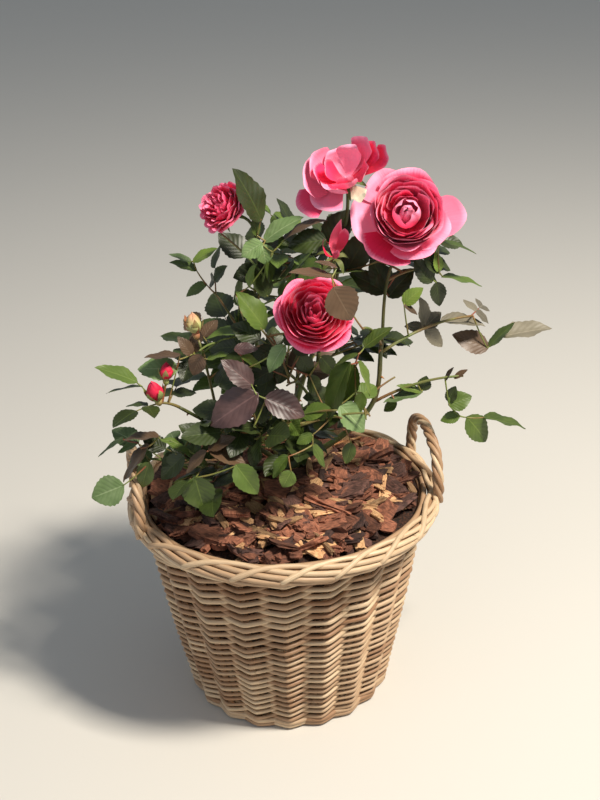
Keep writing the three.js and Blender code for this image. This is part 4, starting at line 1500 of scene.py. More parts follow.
@dataclass(frozen=True)
class Bud:
    """A closed bud: the mass that carries it, its centre, its length and whether it is still green."""

    mass: str
    centre: tuple
    length: float
    green: bool = False


BUDS = (
    Bud("foliage_left_tip", (-119, -42, 361), 25.0),
    Bud("foliage_left_tip", (-107, -32, 377), 20.0),
    Bud("foliage_left_mid", (-80, -11, 417), 24.0, True),
)


class Crowd:
    """What already stands in the crown, as balls that a new leaf keeps clear of."""

    def __init__(self) -> None:
        """Starts with nothing."""
        self.centres = np.zeros((0, 3))
        self.radii = np.zeros(0)

    def add(self, points: Array, radius: float | Array) -> None:
        """Adds balls at points."""
        self.centres = np.concatenate((self.centres, points))
        self.radii = np.concatenate((self.radii, np.broadcast_to(radius, len(points))))

    def clears(self, points: Array, radius: float) -> bool:
        """Whether balls of a radius at these points touch nothing."""
        apart = np.linalg.norm(points[:, None] - self.centres[None], axis=2)
        return bool((apart > self.radii[None] + radius).all())


def spots(leaflets: Iterable[Leaflet], *shares: float) -> Array:
    """Points along each leaflet's midrib, at shares of its length."""
    return np.array([one.point(share) for one in leaflets for share in shares])


@dataclass
class Growth:
    """A mass as it grows: its shoots, the leaflets shown, its leaves and the places for further ones."""

    name: str
    mass: Mass
    rand: Stream
    shoots: list[tuple[Path, int]]
    shown: list[tuple[Leaflet, Tone]]
    leaves: list[Blade]
    filling: list[list[Blade]]


@dataclass
class Foliage:
    """Every mass of leaves, grown by the part's rule and carried on to finer twigs.

    Its sizes say how many places a leaf tries, how far leaves stay apart, how much nearer than its own stem a
    leaf's leaflets may come to another mass's, where they count as clear of the basket's rim, how thick a
    twig is and how many leaves a finer one carries, which way the leaflets shown face, where the crown is
    seen from and how slim a leaflet may be.
    """

    limbs: dict[str, Limb]
    crowd: Crowd
    low: Array
    high: Array
    tries: int = 14
    apart: float = 3.6
    neighbour: float = 14.0
    rim_radius: float = 165.0
    rim_height: float = 236.0
    twig_radius: float = 1.15
    twig_leaves: int = 3
    toward: tuple = (0.0, -0.75, 0.66)
    seen_from: tuple = (0.0, -0.9, 0.43)
    slimmest: float = 0.56
    stems: dict[str, tuple[Array, Array]] = field(default_factory=dict)

    def seat(self, mass: Mass) -> Array:
        """Where a mass's stem leaves its limb.

        Args:
            mass: The mass.

        Returns:
            The point.
        """
        limb = self.limbs[mass.limb]
        on_axis = limb.course.at(mass.at)
        if mass.at == 1:
            return on_axis
        return on_axis + unit(np.array(mass.end) - on_axis) * limb.radius(mass.at) * 0.5

    def shoots(self, mass: Mass, start: Array, rand: Stream) -> list[tuple[Path, int]]:
        """The stem of a mass and its twigs, each with how many leaves it carries.

        Args:
            mass: The mass.
            start: Where its stem starts.
            rand: Its stream of chance.

        Returns:
            The shoots, the stem first.
        """
        stem = Path.bowed(start, np.array(mass.end, float), 0.14)
        shoots = [(stem, mass.leaves)]
        for k in range(mass.twigs):
            origin = stem.at(0.3 + 0.4 * rand())
            turn = k * GOLDEN + 2 * math.pi * rand()
            aside = unit(np.array([math.cos(turn), math.sin(turn), 0.2 + 0.8 * rand()]))
            length = mass.leaflet * (0.9 + 0.5 * rand())
            shoots.append((Path.bowed(origin, origin + aside * length, 0.1), 2))
        return shoots

    def outer(self, mass: Mass, stem: Path, point: tuple) -> Blade:
        """The leaf that reaches out to one tip of the crown's outline.

        Args:
            mass: The mass.
            stem: Its stem.
            point: The tip.

        Returns:
            The leaf.
        """
        base = stem.at(0.8)
        ahead = np.array(point, float) - base
        total = float(np.linalg.norm(ahead))
        pairs = 2 if total > 2.3 * mass.leaflet else 1
        size = min(mass.leaflet * 1.15, total / bare_length(pairs))
        return blade(base, ahead, size, pairs, np.array([0, -0.5, 0]), total)

    def shown(self, mass: Mass, rand: Stream) -> list[tuple[Leaflet, Tone]]:
        """The leaflets that the photograph shows: those seen slim are rolled about their midribs.

        Args:
            mass: The mass.
            rand: Its stream of chance.

        Returns:
            Each leaflet and its tone.
        """
        found = []
        for foot, tip, width, tone in mass.shown:
            start = np.array(foot, float)
            ahead = unit(np.array(tip) - start)
            length = float(np.linalg.norm(np.array(tip) - start))
            seen = np.array(self.toward) + np.array([rand.swing(0.2), rand.swing(0.15), rand.swing(0.15)])
            seen = unit(seen - np.dot(seen, ahead) * ahead)
            full = max(float(width), self.slimmest * length)
            roll = math.acos(width / full)
            aside = np.cross(ahead, seen)
            turned_up = aside if aside[2] > 0 else -aside
            normal = math.cos(roll) * seen + math.sin(roll) * turned_up
            found.append((Leaflet(start, ahead, normal, length, full), tone))
        return found

    def places(
        self,
        mass: Mass,
        shoot: Path,
        leaves: int,
        rand: Stream,
        scale: float = 1.0,
    ) -> Iterable[list[Blade]]:
        """The places that each leaf round a shoot may take, the first choice first.

        Args:
            mass: The mass that the shoot is in.
            shoot: The shoot.
            leaves: How many leaves it carries.
            rand: The mass's stream of chance.
            scale: Size of the leaves against the mass's own.

        Returns:
            The places for one leaf after the other.
        """
        turn = 2 * math.pi * rand()
        for i in range(leaves):
            share = (i + 1) / leaves
            base = shoot.at(0.15 + 0.83 * share)
            along = shoot.along(share)
            size = scale * mass.leaflet * (0.9 + 0.25 * rand())
            tilt = np.array([rand.swing(0.5), rand.swing(0.5) - 0.2, rand.swing(0.25)])
            rise = 0.7 * rand() - 0.3
            found = []
            for k in range(self.tries):
                angle = turn + i * GOLDEN + k * 0.9
                aside = np.array([math.cos(angle), math.sin(angle), rise + 0.06 * (k % 5)])
                ahead = aside + along * (1.4 if share == 1 else 0.4)
                pairs = 2 if k < self.tries / 2 else 1
                found.append(blade(base, ahead, size * (1 - 0.02 * k), pairs, tilt))
            yield found

    def to_stem(self, points: Array, name: str) -> Array:
        """How far points lie from the stem of a mass.

        Args:
            points: The points.
            name: The mass.

        Returns:
            A distance for each point.
        """
        start, end = self.stems[name]
        run = end - start
        share = np.clip((points - start) @ run / (run @ run), 0, 1)
        return np.linalg.norm(points - start - share[:, None] * run, axis=1)

    def fits(self, leaf: Blade, name: str) -> bool:
        """Whether a leaf keeps to its mass's space, within the part's box, and clear of all that stands.

        Args:
            leaf: The leaf.
            name: Its mass.

        Returns:
            Whether it may stand there.
        """
        leaflets = leaf.leaflets()
        tips, middles = spots(leaflets, 1.0), spots(leaflets, 0.5)
        own = self.to_stem(middles, name)
        return (
            bool((self.to_stem(tips, name) < MASSES[name].spread).all())
            and bool((tips > self.low).all() and (tips < self.high).all())
            and all((self.to_stem(middles, other) > own - self.neighbour).all() for other in self.stems)
            and bool(
                (np.hypot(tips[:, 0], tips[:, 1]) > self.rim_radius).all()
                or (tips[:, 2] > self.rim_height).all()
            )
            and self.crowd.clears(spots(leaflets, 0.5, 0.85), self.apart)
        )

    def stand(self, leaflets: Iterable[Leaflet]) -> None:
        """Counts leaflets among what stands in the crown."""
        self.crowd.add(spots(leaflets, 0.25, 0.55, 0.85), self.apart)

    def clear(self, points: Array, radius: float) -> None:
        """Keeps the way to points free, on the side that they are seen from."""
        for step in range(1, 6):
            self.crowd.add(points + step * 2.2 * radius * np.array(self.seen_from), radius)

    def leaflet(self, patch: Patchwork, one: Leaflet, tone: Tone, rand: Stream) -> None:
        """One leaflet: round with a small point, toothed, folded along its midrib and curled down to its tip.

        Args:
            patch: Where it is laid.
            one: Its place and sizes.
            tone: Its finish.
            rand: The mass's stream of chance.
        """
        rows = 16
        cut = sheet(6, rows)
        side = 1 - 2 * cut.u
        profile = np.sin(np.pi * np.clip(cut.v, 1e-6, 1) ** 0.8) ** 0.8
        teeth = 1 + 0.08 * (np.round(cut.v * rows) % 2) * (np.abs(side) > 0.9)
        x, y = cut.v * one.length, side * 0.5 * one.width * profile * teeth
        fold, curl = rand.between(0.15, 0.45), rand.between(0.04, 0.2)
        ripple, phase = rand.between(0.008, 0.025), rand.swing(3)
        z = fold * np.abs(y) - 1.2 * fold * y**2 / one.length - curl * one.length * cut.v**2.2
        z += ripple * one.length * np.sin(13 * cut.v + phase) * side**2
        across = unit(np.cross(one.normal, one.ahead))
        normal = np.cross(one.ahead, across)
        points = one.foot + x[:, None] * one.ahead + y[:, None] * across + z[:, None] * normal
        patch.lay(cut, points, tone.value, rand())

    def dress(self, blades: Patchwork, wood: Patchwork, leaf: Blade, tone: Tone, rand: Stream) -> None:
        """A whole leaf: its leaflets and the stalk that they stand on.

        Args:
            blades: Where leaflets are laid.
            wood: Where stalks are laid.
            leaf: The leaf.
            tone: Its finish.
            rand: The mass's stream of chance.
        """
        for one in leaf.leaflets():
            self.leaflet(blades, one, tone, rand)
        reach = leaf.stalk + leaf.pairs * PAIR_STEP * leaf.size
        line = np.array([leaf.spot(x, 0.0) - 0.4 * leaf.normal for x in np.linspace(0, reach, 7)])
        wood.rod(line, np.linspace(0.9, 0.55, 7), 5, 1, rand())

    def stalks(self, wood: Patchwork, shoots: list, shown: list, rand: Stream) -> None:
        """A stalk to each leaflet shown, from the nearest place on a shoot or on a stalk already there.

        Args:
            wood: Where stalks are laid.
            shoots: The mass's stem and twigs.
            shown: The leaflets.
            rand: The mass's stream of chance.
        """
        places = np.concatenate([shoot.at(np.linspace(0.2, 1, 9)) for shoot, _ in shoots])
        for one, _ in sorted(shown, key=lambda pair: np.linalg.norm(places - pair[0].foot, axis=1).min()):
            start = places[np.argmin(np.linalg.norm(places - one.foot, axis=1))]
            end = one.point(0.04)
            if np.linalg.norm(end - start) > 2:
                line = Path.bowed(start, end, -0.08).at(np.linspace(0, 1, 8))
                wood.rod(line, np.linspace(0.95, 0.6, 8), 5, 1, rand())
                places = np.concatenate((places, line[2:]))

    def start(self, name: str, mass: Mass, rand: Stream) -> Growth:
        """Grows a mass as far as the part's source does.

        Args:
            name: The part's node.
            mass: Its sizes.
            rand: Its stream of chance.

        Returns:
            Its growth, without the leaves that fill it.
        """
        shoots = self.shoots(mass, self.stems[name][0], rand)
        filling = [places for shoot, leaves in shoots for places in self.places(mass, shoot, leaves, rand)]
        outer = [self.outer(mass, shoots[0][0], point) for point in mass.reach]
        for shoot, _ in shoots:
            self.crowd.add(shoot.at(np.linspace(0.1, 1, 9)), 1.0)
        return Growth(name, mass, rand, shoots, self.shown(mass, rand), outer, filling)

    def reserve(self, grown: list[Growth]) -> None:
        """Keeps leaves off what the photograph shows: the blooms, the gaps, the leaflets shown and the tips.

        Args:
            grown: The masses.
        """
        for bloom in BLOOMS.values():
            self.clear(np.array([bloom.centre], float), 0.8 * bloom.radius)
        for (x, z), (back_x, back_z), radius in GAPS:
            share = np.linspace(0, 1, 2 + int((SIGHT_BACK - SIGHT_FRONT) / radius))[:, None]
            front, back = np.array([x, SIGHT_FRONT, z]), np.array([back_x, SIGHT_BACK, back_z])
            self.crowd.add(front * (1 - share) + back * share, radius)
        for growth in grown:
            if growth.shown:
                self.stand([one for one, _ in growth.shown])
            for one, _ in growth.shown:
                self.clear(spots([one], 0.2, 0.5, 0.8), 0.3 * one.width + 6)
            for leaf in growth.leaves:
                self.stand(leaf.leaflets())

    def fill(self, growth: Growth) -> None:
        """Grows a mass's finer twigs, and every leaf that finds a free place.

        Args:
            growth: The mass.
        """
        mass, rand, shoots = growth.mass, growth.rand, growth.shoots
        for _ in range(mass.more):
            stem = shoots[int(rand() * len(shoots))][0]
            origin, turn = stem.at(0.35 + 0.5 * rand()), 2 * math.pi * rand()
            aside = unit(np.array([math.cos(turn), math.sin(turn), 0.1 + 0.8 * rand()]))
            twig = Path.bowed(origin, origin + aside * mass.leaflet * rand.between(0.7, 1.3), 0.1)
            shoots.append((twig, self.twig_leaves))
            growth.filling += self.places(mass, twig, self.twig_leaves, rand, 0.92)
        for places in growth.filling:
            leaf = next((one for one in places if self.fits(one, growth.name)), None)
            if leaf:
                growth.leaves.append(leaf)
                self.stand(leaf.leaflets())

    def build(self, buds: "Buds") -> None:
        """Grows every mass: stems and twigs, the leaves of the outline, those that fill it, then finer ones.

        Args:
            buds: The buds that some of the masses carry.
        """
        looks = [leaf.material() for leaf in LEAVES]
        stems = [Stem("twig", "66763a", "7e5a38").material(), Stem("stalk", "78843e", "94503c").material()]
        for name, mass in MASSES.items():
            self.stems[name] = (self.seat(mass), np.array(mass.end, float))
        grown = [self.start(name, mass, Stream(SEED + k)) for k, (name, mass) in enumerate(MASSES.items())]
        self.reserve(grown)
        buds.seat({growth.name: growth.shoots[0][0] for growth in grown})
        for growth in grown:
            self.fill(growth)
            self.piece(growth, looks, stems)

    def piece(self, growth: Growth, looks: list, stems: list) -> None:
        """Builds the leaves and the twigs of one mass.

        Args:
            growth: The mass.
            looks: The leaves' finishes.
            stems: The twigs' finishes.
        """
        name, rand = growth.name, growth.rand
        blades, wood = Patchwork(), Patchwork()
        for number, (shoot, _) in enumerate(growth.shoots):
            thick = self.twig_radius * (1.25 if number == 0 else 0.95)
            wood.rod(shoot.at(np.linspace(0, 1, 12)), thick * np.linspace(1.15, 0.8, 12), 7, 0, rand())
        for one, tone in growth.shown:
            self.leaflet(blades, one, tone, rand)
        self.stalks(wood, growth.shoots, growth.shown, rand)
        for leaf in growth.leaves:
            self.dress(blades, wood, leaf, rand.pick(growth.mass.tones), rand)
        blades.build(name + "_leaves", looks, [name], "leaf", False)
        wood.build(name + "_twigs", stems, [name], "leaf", True)


# Buds and blooms


def facing(face: Array) -> tuple[Array, Array, Array]:
    """Two directions across an axis, and the axis.

    Args:
        face: The axis, of any length.

    Returns:
        Three unit vectors at right angles.
    """
    axis = unit(face)
    across = unit(np.cross([0.0, 0.0, 1.0], axis)) if abs(axis[2]) < 0.99 else np.array([1.0, 0.0, 0.0])
    return across, np.cross(axis, across), axis


def turned(centre: Array, face: Array, out: Array, angle: Array, rise: Array) -> Array:
    """Points round an axis.

    Args:
        centre: Where the axis starts.
        face: Which way it runs.
        out: How far out each point lies.
        angle: The angle that it lies at, in radians.
        rise: How far up the axis it lies.

    Returns:
        The points, one a row.
    """
    across, upward, axis = facing(face)
    ring = np.cos(angle)[:, None] * across + np.sin(angle)[:, None] * upward
    return centre + out[:, None] * ring + rise[:, None] * axis


@dataclass
class Buds:
    """Closed buds on the left shoots: petals rolled to a point in a green calyx, on reddened pedicels."""

    seed: int = 71
    starts: list[Array] = field(default_factory=list)

    def seat(self, stems: dict[str, Path]) -> None:
        """Finds where each bud's pedicel leaves its mass's stem."""
        self.starts = [stems[bud.mass].at(0.85) for bud in BUDS]

    def build(self, green: Material, reds: list[Material]) -> None:
        """Builds each bud's petals, calyx and pedicel.

        Args:
            green: The calyx's finish.
            reds: The petals' finishes: in full colour, and still green.
        """
        rand = Stream(self.seed)
        petals, leafy = Patchwork(), Patchwork()
        for bud, start in zip(BUDS, self.starts):
            centre, length = np.array(bud.centre, float), bud.length
            axis = unit(unit(centre - start) + np.array([0, 0, 0.6]))
            foot = centre - axis * length * 0.5
            for number in range(5):
                cut = sheet(8, 9)
                out = 0.32 * length * np.sin(np.pi * (0.08 + 0.915 * cut.v)) ** 0.8 * (0.9 + 0.05 * number)
                angle = number * GOLDEN - (2 * cut.u - 1) * 1.4 + 1.1 * cut.v
                rise = length * (0.06 + cut.v * (0.92 - 0.05 * number) - 0.08 * (2 * cut.u - 1) ** 2 * cut.v)
                petals.lay(cut, turned(foot, axis, out, angle, rise), int(bud.green), 0.25 * rand())
                sepal = sheet(4, 9)
                side = 2 * sepal.u - 1
                out = length * (0.1 + 0.27 * np.sin(2.2 * sepal.v) + 0.08 * sepal.v**3)
                angle = number * 2 * np.pi / 5 - side * 0.56 * (1 - sepal.v**2.2) - 0.02
                rise = length * (0.78 if bud.green else 0.68) * sepal.v
                leafy.lay(sepal, turned(foot, axis, out, angle, rise), 0, rand())
            hip = np.array([foot + axis * length * t for t in (-0.22, -0.14, -0.04, 0.05, 0.1)])
            leafy.rod(hip, length * np.array([0.06, 0.13, 0.16, 0.14, 0.1]), 9, 0, 0.4)
            leafy.rod(Path.bowed(start, hip[0] + axis, 0.04).at(np.linspace(0, 1, 8)), 1.1, 6, 1, 0.5)
        names = sorted({bud.mass for bud in BUDS})
        petals.build("bud_petals", reds, names, "leaf", False)
        stalk = Stem("pedicel", "8a6a3a", "b0503e").material()
        leafy.build("bud_calyxes", [green, stalk], names, "leaf", False)


class Hue(Enum):
    """Which of a bloom's finishes a petal has. DEEP is partly the flower's own crimson and partly painted
    shade, for blooms and petals that lie in shade.
    """

    LIGHT = 0
    DEEP = 1
    WITHERED = 2


LIGHT, DEEP, WITHERED = Hue


@dataclass(frozen=True)
class Whorl:
    """A ring of like petals, in shares of the bloom's radius.

    The ring holds a count of petals and starts at a turn round the axis. Each petal spreads so many degrees
    to each side, reaches so far out and rises so far up, bellies out beyond its rim (less than nothing:
    flares back), rolls its rim back, and is more or less pale: partly its own colour, partly painted light
    and shade, paler where sun falls on it and deeper where it lies in shade. A hood over 1 closes its top
    over the heart, and a point draws its rim out to a tip.
    """

    count: int
    turn: float
    half: float
    reach: float
    rise: float
    belly: float = 0.1
    roll: float = 0.05
    pale: float = 0.2
    hue: Hue = LIGHT
    hood: float = 0.45
    point: float = 0.0


@dataclass(frozen=True)
class Bloom:
    """One open bloom: centre, radius, the way it faces, its stalk, its whorls and how loosely they lie."""

    centre: tuple
    radius: float
    face: tuple
    cane: str
    at: float
    stalk: tuple
    foot: float
    whorls: tuple[Whorl, ...]
    loose: float = 1.0


# The whorls, from outside inwards. Each row gives the count, the turn, half the width in degrees, the reach,
# the rise, the belly, the roll and the paleness. The paleness and the deep finish are partly painted light
# and shade: paler on petals in sun, deeper on petals in shade.
FULL = (
    Whorl(1, 88, 44, 0.86, 0.02, -0.03, 0.08, 0.5),
    Whorl(1, 128, 30, 0.95, -0.02, -0.03, 0.1, 1.1),
    Whorl(1, 184, 34, 1.03, -0.04, -0.03, 0.08, 1.1),
    # Painted shade: the lower-left guard petal lies in shade, so it wears the deep finish with little
    # paleness.
    Whorl(1, 238, 36, 1.0, -0.06, -0.02, 0.06, 0.1, DEEP),
    Whorl(1, 286, 40, 0.84, 0.0, -0.02, 0.08, 0.6),
    Whorl(1, 330, 36, 0.8, 0.0, -0.03, 0.1, 0.9),
    Whorl(1, 0, 34, 1.1, -0.02, -0.03, 0.05, 1.0, point=0.3),
    Whorl(5, 48, 48, 0.66, 0.24, 0.07, 0.08, 0.5),
    Whorl(6, 20, 46, 0.62, 0.34, 0.1, 0.05, 0.35),
    Whorl(5, 50, 44, 0.54, 0.38, 0.12, 0.05, 0.3),
    Whorl(5, 12, 46, 0.45, 0.38, 0.12, 0.05, 0.25),
    Whorl(1, 316, 42, 0.48, 0.24, 0.06, 0.08, 0.9),
    Whorl(1, 108, 40, 0.36, 0.3, 0.08, 0.05, 0.1, DEEP),
    Whorl(4, 30, 48, 0.4, 0.36, 0.12, 0.05, 0.4),
    Whorl(1, 100, 56, 0.27, 0.28, 0.12, 0.03, 0.5, hood=0.9),
    Whorl(1, 215, 60, 0.2, 0.32, 0.17, 0.0, 0.8, hood=1.0),
    Whorl(1, 60, 56, 0.17, 0.31, 0.18, 0.0, 0.7, hood=1.0),
    Whorl(1, 140, 56, 0.17, 0.34, 0.18, 0.0, 0.9, hood=1.0),
    Whorl(1, 322, 68, 0.14, 0.37, 0.22, 0.0, 1.0, hood=1.1),
    Whorl(3, 35, 88, 0.01, 0.37, 0.19, 0.0, 0.9, hood=1.2),
)
THIN = (
    # Painted shade: the outer petals are kept deep, with little paleness, as they lie in shade.
    Whorl(6, 0, 38, 0.94, -0.04, -0.03, 0.1, 0.25, DEEP),
    Whorl(7, 30, 42, 0.84, 0.14, 0.05, 0.07, 0.1, DEEP),
    Whorl(7, 5, 44, 0.76, 0.26, 0.09, 0.05, 0.15, DEEP),
    Whorl(7, 32, 44, 0.66, 0.33, 0.11, 0.05, 0.1, DEEP),
    Whorl(6, 12, 46, 0.55, 0.36, 0.13, 0.05, 0.1, DEEP),
    Whorl(5, 40, 44, 0.42, 0.4, 0.14, 0.06, 0.3, DEEP),
    Whorl(4, 15, 46, 0.3, 0.44, 0.16, 0.08, 0.7, DEEP),
    Whorl(4, 60, 46, 0.2, 0.48, 0.14, 0.08, 0.8, DEEP),
    Whorl(3, 50, 56, 0.1, 0.49, 0.1, 0.05, 0.7, DEEP),
)
RUFFLED = (
    Whorl(7, 0, 36, 0.98, -0.1, -0.04, 0.08, 0.5, DEEP),
    Whorl(8, 25, 34, 0.92, 0.14, 0.02, 0.1, 0.35, DEEP),
    Whorl(8, 5, 34, 0.8, 0.34, 0.05, 0.1, 0.3, DEEP),
    Whorl(8, 30, 34, 0.64, 0.5, 0.07, 0.1, 0.25, DEEP),
    Whorl(7, 10, 38, 0.46, 0.6, 0.08, 0.08, 0.3, DEEP),
    Whorl(5, 40, 44, 0.28, 0.66, 0.08, 0.06, 0.4, DEEP),
    Whorl(4, 0, 55, 0.1, 0.66, 0.1, 0.04, 0.4, DEEP),
)
LOOSE = (
    Whorl(1, 224, 22, 1.42, -0.34, -0.12, 0.04, 0.25, DEEP),
    Whorl(1, 243, 34, 1.06, -0.16, -0.05, 0.06, 0.7),
    Whorl(1, 195, 44, 0.98, 0.16, 0.16, 0.1, 0.6),
    Whorl(1, 166, 38, 0.82, 0.3, 0.14, 0.08, 0.8),
    Whorl(1, 250, 46, 0.6, 0.34, 0.2, 0.1, 0.8),
    Whorl(1, 205, 44, 0.66, 0.32, 0.14, 0.06, 0.1),
    Whorl(1, 178, 36, 0.4, 0.36, 0.12, 0.04, 0.2),
    Whorl(1, 290, 50, 0.42, 0.24, 0.16, 0.06, 0.3),
    Whorl(1, 118, 38, 0.66, 0.1, 0.08, 0.1, 1.0),
    # Painted light: the front petal is made palest to show it in sunlight.
    Whorl(1, 86, 36, 0.62, 0.24, 0.1, 0.12, 1.4),
    Whorl(1, 292, 44, 0.3, 0.3, 0.14, 0.04, 0.6),
    Whorl(1, 64, 24, 0.92, 0.34, 0.03, 0.06, 0.5),
    Whorl(1, 44, 19, 1.0, 0.28, 0.03, 0.05, 0.1, DEEP),
    Whorl(1, 30, 18, 1.18, 0.2, 0.02, 0.05, 0.2, DEEP),
    Whorl(1, 8, 30, 0.62, 0.2, 0.05, 0.05, 0.3, DEEP),
    Whorl(1, 315, 22, 0.66, -0.34, 0.1, 0.12, 0.9, WITHERED),
)
SHARDS = (
    Whorl(1, 72, 36, 0.66, 1.5, 0.34, 0.0, 0.45, DEEP, point=0.5),
    Whorl(1, 40, 26, 0.6, 1.0, 0.2, 0.0, 0.25, DEEP),
    Whorl(1, 165, 24, 0.7, 0.85, 0.14, 0.0, 0.1, DEEP, point=0.4),
    Whorl(1, 250, 30, 0.3, 0.4, 0.14, 0.0, 0.2, DEEP),
)

BLOOMS = {
    "bloom_upper_right": Bloom(
        (124, 0, 515), radius=48, face=(-0.05, -0.85, 0.52), cane="cane_right", at=1,
        stalk=((105, 4, 440), (116, 14, 478)), foot=1.7, whorls=FULL,
    ),
    "bloom_centre": Bloom(
        (35.5, -70, 446.8), radius=36, face=(0.05, -0.8, 0.6), cane="cane_centre", at=1,
        stalk=((38, -45, 417),), foot=1.7, whorls=THIN,
    ),
    "bloom_left": Bloom(
        (-47, 0, 527), radius=24, face=(-0.6, -0.5, 0.6), cane="cane_left_top", at=1,
        stalk=((-17, 6, 480), (-22, 5, 510)), foot=1.7, whorls=RUFFLED, loose=2.2,
    ),
    "bloom_top": Bloom(
        (66, 10, 554), radius=36, face=(-0.25, -0.65, 0.7), cane="cane_top", at=1,
        stalk=((66, 28, 485), (70, 20, 520)), foot=1.9, whorls=LOOSE, loose=1.2,
    ),
    "bloom_inner": Bloom(
        (57, -8, 484), radius=20, face=(0.2, -0.5, 0.85), cane="cane_top", at=0.92,
        stalk=((53, 7, 442), (56, 0, 458)), foot=1.6, whorls=SHARDS, loose=0.6,
    ),
}

# petal_light and petal_deep are light and deep copies of one pink: partly the blooms' own range of colour,
# partly painted light and painted shade.
BLOOM_PETALS = (
    Petal("petal_light", "e00a44", "f5346e", "ffa4c4", "ff90b4"),
    Petal("petal_deep", "cc0034", "ee205c", "ff8cb0", "f05080"),
    Petal("petal_withered", "8a7444", "b4a684", "d0c6ae", "a89868"),
)
BUD_PETALS = (
    Petal("petal_bud", "b8002c", "dc0a3e", "ee3c66", "d01040"),
    Petal("petal_green", "9aa860", "c4c584", "e2506c", "b4b878", 0.5),
)


@dataclass
class Blooms:
    """The open blooms, each with its petals, calyx and stalk."""

    limbs: dict[str, Limb]
    seed: int = 97

    def course(self, bloom: Bloom) -> Path:
        """The way a bloom's stalk runs, from its cane to the underside of the petals.

        Args:
            bloom: The bloom.

        Returns:
            Its course.
        """
        cane = self.limbs[bloom.cane].course
        start = cane.at(bloom.at)
        lead = [start + cane.along(1) * step for step in (0.3, 6)] if bloom.at == 1 else [start]
        base = np.array(bloom.centre) - unit(np.array(bloom.face)) * 0.4 * bloom.radius
        return Path.through([*lead, *bloom.stalk, base])

    def petal(self, patch: Patchwork, bloom: Bloom, whorl: Whorl, number: int, rand: Stream) -> None:
        """One petal: a curve from its claw to its rim, swept round the axis, with a ruffled, rolled rim.

        Args:
            patch: Where it is laid.
            bloom: Its bloom.
            whorl: Its whorl.
            number: Its place in the whorl.
            rand: The bloom's stream of chance.
        """
        size, free = bloom.radius, bloom.loose
        cut = sheet(12, 11)
        side = 2 * cut.u - 1
        v = cut.v * (1 - (0.2 + whorl.point) * np.abs(side) ** (2.6 - 3 * whorl.point) * cut.v)
        single = whorl.count == 1
        reach = whorl.reach * (1 if single else 1 + rand.swing(0.035) * free)
        rise = whorl.rise + (0 if single else rand.swing(0.035) * free)
        belly = reach + whorl.belly
        knots = ((0.05, -0.42), (0.5 * reach + 0.9 * whorl.belly, -0.4), (belly, whorl.hood * rise - 0.1))
        weights = ((1 - v) ** 3, 3 * v * (1 - v) ** 2, 3 * v * v * (1 - v), v**3)
        run = [w[:, None] * np.array(k) for w, k in zip(weights, (*knots, (reach, rise)))]
        out, height = size * sum(run).T
        rim = np.clip((v - 0.84) / 0.16, 0, 1) ** 2
        out = out + size * whorl.roll * rim
        height = height - size * 0.6 * whorl.roll * rim
        ruffle, phase = 0.022 * free * size * v**3, rand.swing(3)
        height = height + ruffle * np.sin(4.2 * side + phase) + 0.5 * ruffle * np.sin(9.7 * side + 2 * phase)
        out = out + ruffle * np.cos(4.9 * side + phase)
        half = math.radians(whorl.half) * np.sin(np.pi * (0.12 + 0.5 * v)) ** 0.7
        half = half * (1 if single else rand.between(0.9, 1.12)) * (1 - min(whorl.belly, 0.3) * v**2)
        step = 2 * math.pi / whorl.count
        angle = math.radians(whorl.turn) + number * step - side * half
        angle = angle + (0 if single else rand.swing(0.14) * step)
        height = height - 0.05 * size * side * (0 if single else 1) * v
        points = turned(np.array(bloom.centre), np.array(bloom.face), np.abs(out), angle, height)
        patch.lay(cut, points, whorl.hue.value, min(1.0, whorl.pale * rand.between(0.7, 1.15)))

    def calyx(self, patch: Patchwork, bloom: Bloom, rand: Stream) -> None:
        """The green cup under a bloom and its five sepals, turned back.

        Args:
            patch: Where they are laid.
            bloom: The bloom.
            rand: Its stream of chance.
        """
        face = np.array(bloom.face, float)
        foot = np.array(bloom.centre) - unit(face) * bloom.radius * 0.46
        for number in range(5):
            cut = sheet(4, 8)
            side = 2 * cut.u - 1
            out = 3 + 15 * cut.v
            rise = 4 * np.sin(2.6 * cut.v) - 9 * cut.v**2
            angle = number * 2 * np.pi / 5 - side * 0.42 * (1 - cut.v**1.5) - 0.02
            patch.lay(cut, turned(foot, face, out, angle, rise), 1, rand())
        axis = unit(face)
        line = np.array([foot + axis * t for t in (-9, -6, -3.5, -2, -1)])
        patch.rod(line, np.array([2.0, 3.6, 4.4, 3.6, 1.0]), 10, 1, 0.5)

    def build(self) -> None:
        """Builds every bloom."""
        looks = [petal.material() for petal in BLOOM_PETALS]
        skins = [
            Stem("bloom_stalk", "47552a", "585428").material(),
            Stem("calyx", "4c6228", "5e6430", 0.6).material(),
        ]
        for number, (name, bloom) in enumerate(BLOOMS.items()):
            rand = Stream(self.seed + number)
            petals, green = Patchwork(), Patchwork()
            for whorl in bloom.whorls:
                for k in range(whorl.count):
                    self.petal(petals, bloom, whorl, k, rand)
            self.calyx(green, bloom, rand)
            line = self.course(bloom).at(np.linspace(0, 0.97, 24))
            green.rod(line, bloom.foot * np.linspace(1, 0.85, 24), 9, 0, 0.5)
            petals.build(name + "_petals", looks, [name], "petal", False)
            green.build(name + "_stalk", skins, [name], "petal", False)


# The studio


@dataclass(frozen=True)
class Light:
    """A soft light: where it stands, how large it is, its power and its colour."""

    name: str
    at: tuple
    size: float
    power: float
    colour: str

    def place(self, target: Vector) -> None:
        """Hangs the light and turns it.

        Args:
            target: The point that it shines at.
        """
        data = bpy.data.lights.new(self.name, "AREA")
        data.size, data.energy, data.color = self.size, self.power, linear(self.colour)[:3]
        lamp = bpy.data.objects.new(self.name, data)
        lamp.location = self.at
        lamp.rotation_euler = (target - lamp.location).to_track_quat("-Z", "Y").to_euler()
        bpy.context.scene.collection.objects.link(lamp)


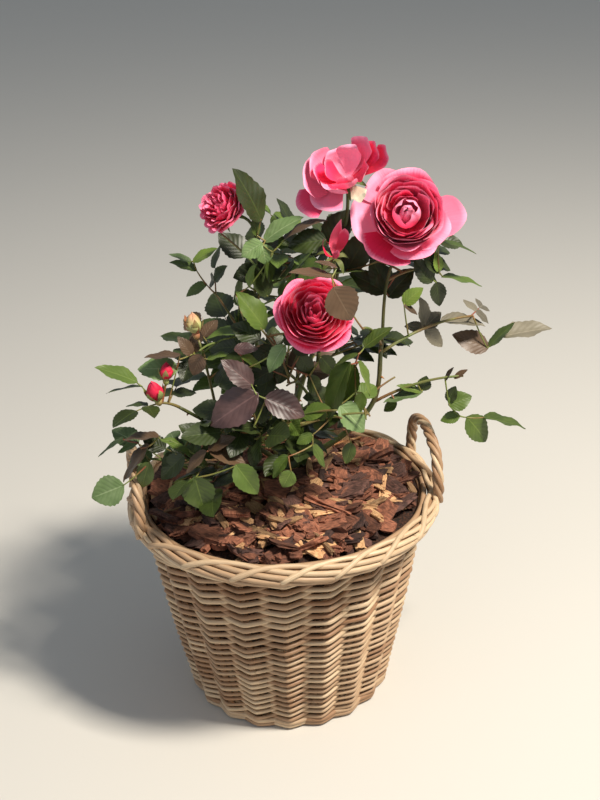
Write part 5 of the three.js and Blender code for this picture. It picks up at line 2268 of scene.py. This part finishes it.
@dataclass
class Studio:
    """A pale floor, soft lights, and the camera where the photograph was taken from."""

    eye: tuple = (0.0197, -1.0792, 0.8453)
    pitch: float = 25.67
    roll: float = -1.64
    lens: float = 54.0
    lights: tuple[Light, ...] = (
        Light("key", (1.15, -0.7, 2.4), 0.4, 102, "fff6e8"),
        Light("fill", (-1.8, -1.8, 1.4), 2.4, 8, "eef2ff"),
    )

    def build(self) -> None:
        """Lays the floor, hangs the lights and stands the camera."""
        floor = bpy.data.meshes.new("floor")
        bm = bmesh.new()
        bmesh.ops.create_grid(bm, x_segments=1, y_segments=1, size=6)
        bm.to_mesh(floor)
        bm.free()
        floor.materials.append(Plain().material())
        ground = bpy.data.objects.new("floor", floor)
        ground.location.z = -0.0005
        bpy.context.scene.collection.objects.link(ground)
        ground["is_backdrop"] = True
        for light in self.lights:
            light.place(Vector((0, 0, 0.3)))
        world = bpy.data.worlds.new("studio")
        world.use_nodes = True
        world.node_tree.nodes["Background"].inputs[0].default_value = linear("dfe8f2")
        world.node_tree.nodes["Background"].inputs[1].default_value = 0.34
        bpy.context.scene.world = world
        camera = bpy.data.cameras.new("camera")
        camera.lens, camera.sensor_width = self.lens, 36
        eye = bpy.data.objects.new("camera", camera)
        eye.location = self.eye
        tilt = Matrix.Rotation(math.radians(90 - self.pitch), 3, "X")
        eye.rotation_euler = (tilt @ Matrix.Rotation(math.radians(self.roll), 3, "Z")).to_euler()
        bpy.context.scene.collection.objects.link(eye)
        bpy.context.scene.camera = eye
        bpy.context.scene.view_settings.view_transform = "Standard"


def main() -> None:
    """Builds the potted rose bush and its studio."""
    logging.basicConfig(level=logging.INFO)
    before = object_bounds()
    low, high = (np.array(corner) / MM for corner in before)
    Studio().build()
    Basket().build()
    Mulch().build()
    limbs = Canes().build()
    blooms = Blooms(limbs)
    crowd = Crowd()
    for limb in limbs.values():
        crowd.add(limb.course.at(np.linspace(0, 1, 16)), 3.0)
    for name, bloom in BLOOMS.items():
        course = blooms.course(bloom)
        limbs[name] = Limb(course, bloom.foot, bloom.foot * 0.85)
        crowd.add(course.at(np.linspace(0, 0.85, 10)), 3.0)
        crowd.add(np.array([bloom.centre], float), bloom.radius * 0.9)
    blooms.build()
    buds = Buds()
    for bud in BUDS:
        crowd.add(np.array([bud.centre], float), bud.length * 0.45)
    Foliage(limbs, crowd, low - 2, high + 2).build(buds)
    calyx = Stem("bud_calyx", "a3ae68", "a8684c", 0.6).material()
    buds.build(calyx, [petal.material() for petal in BUD_PETALS])


if __name__ == "__main__":
    main()
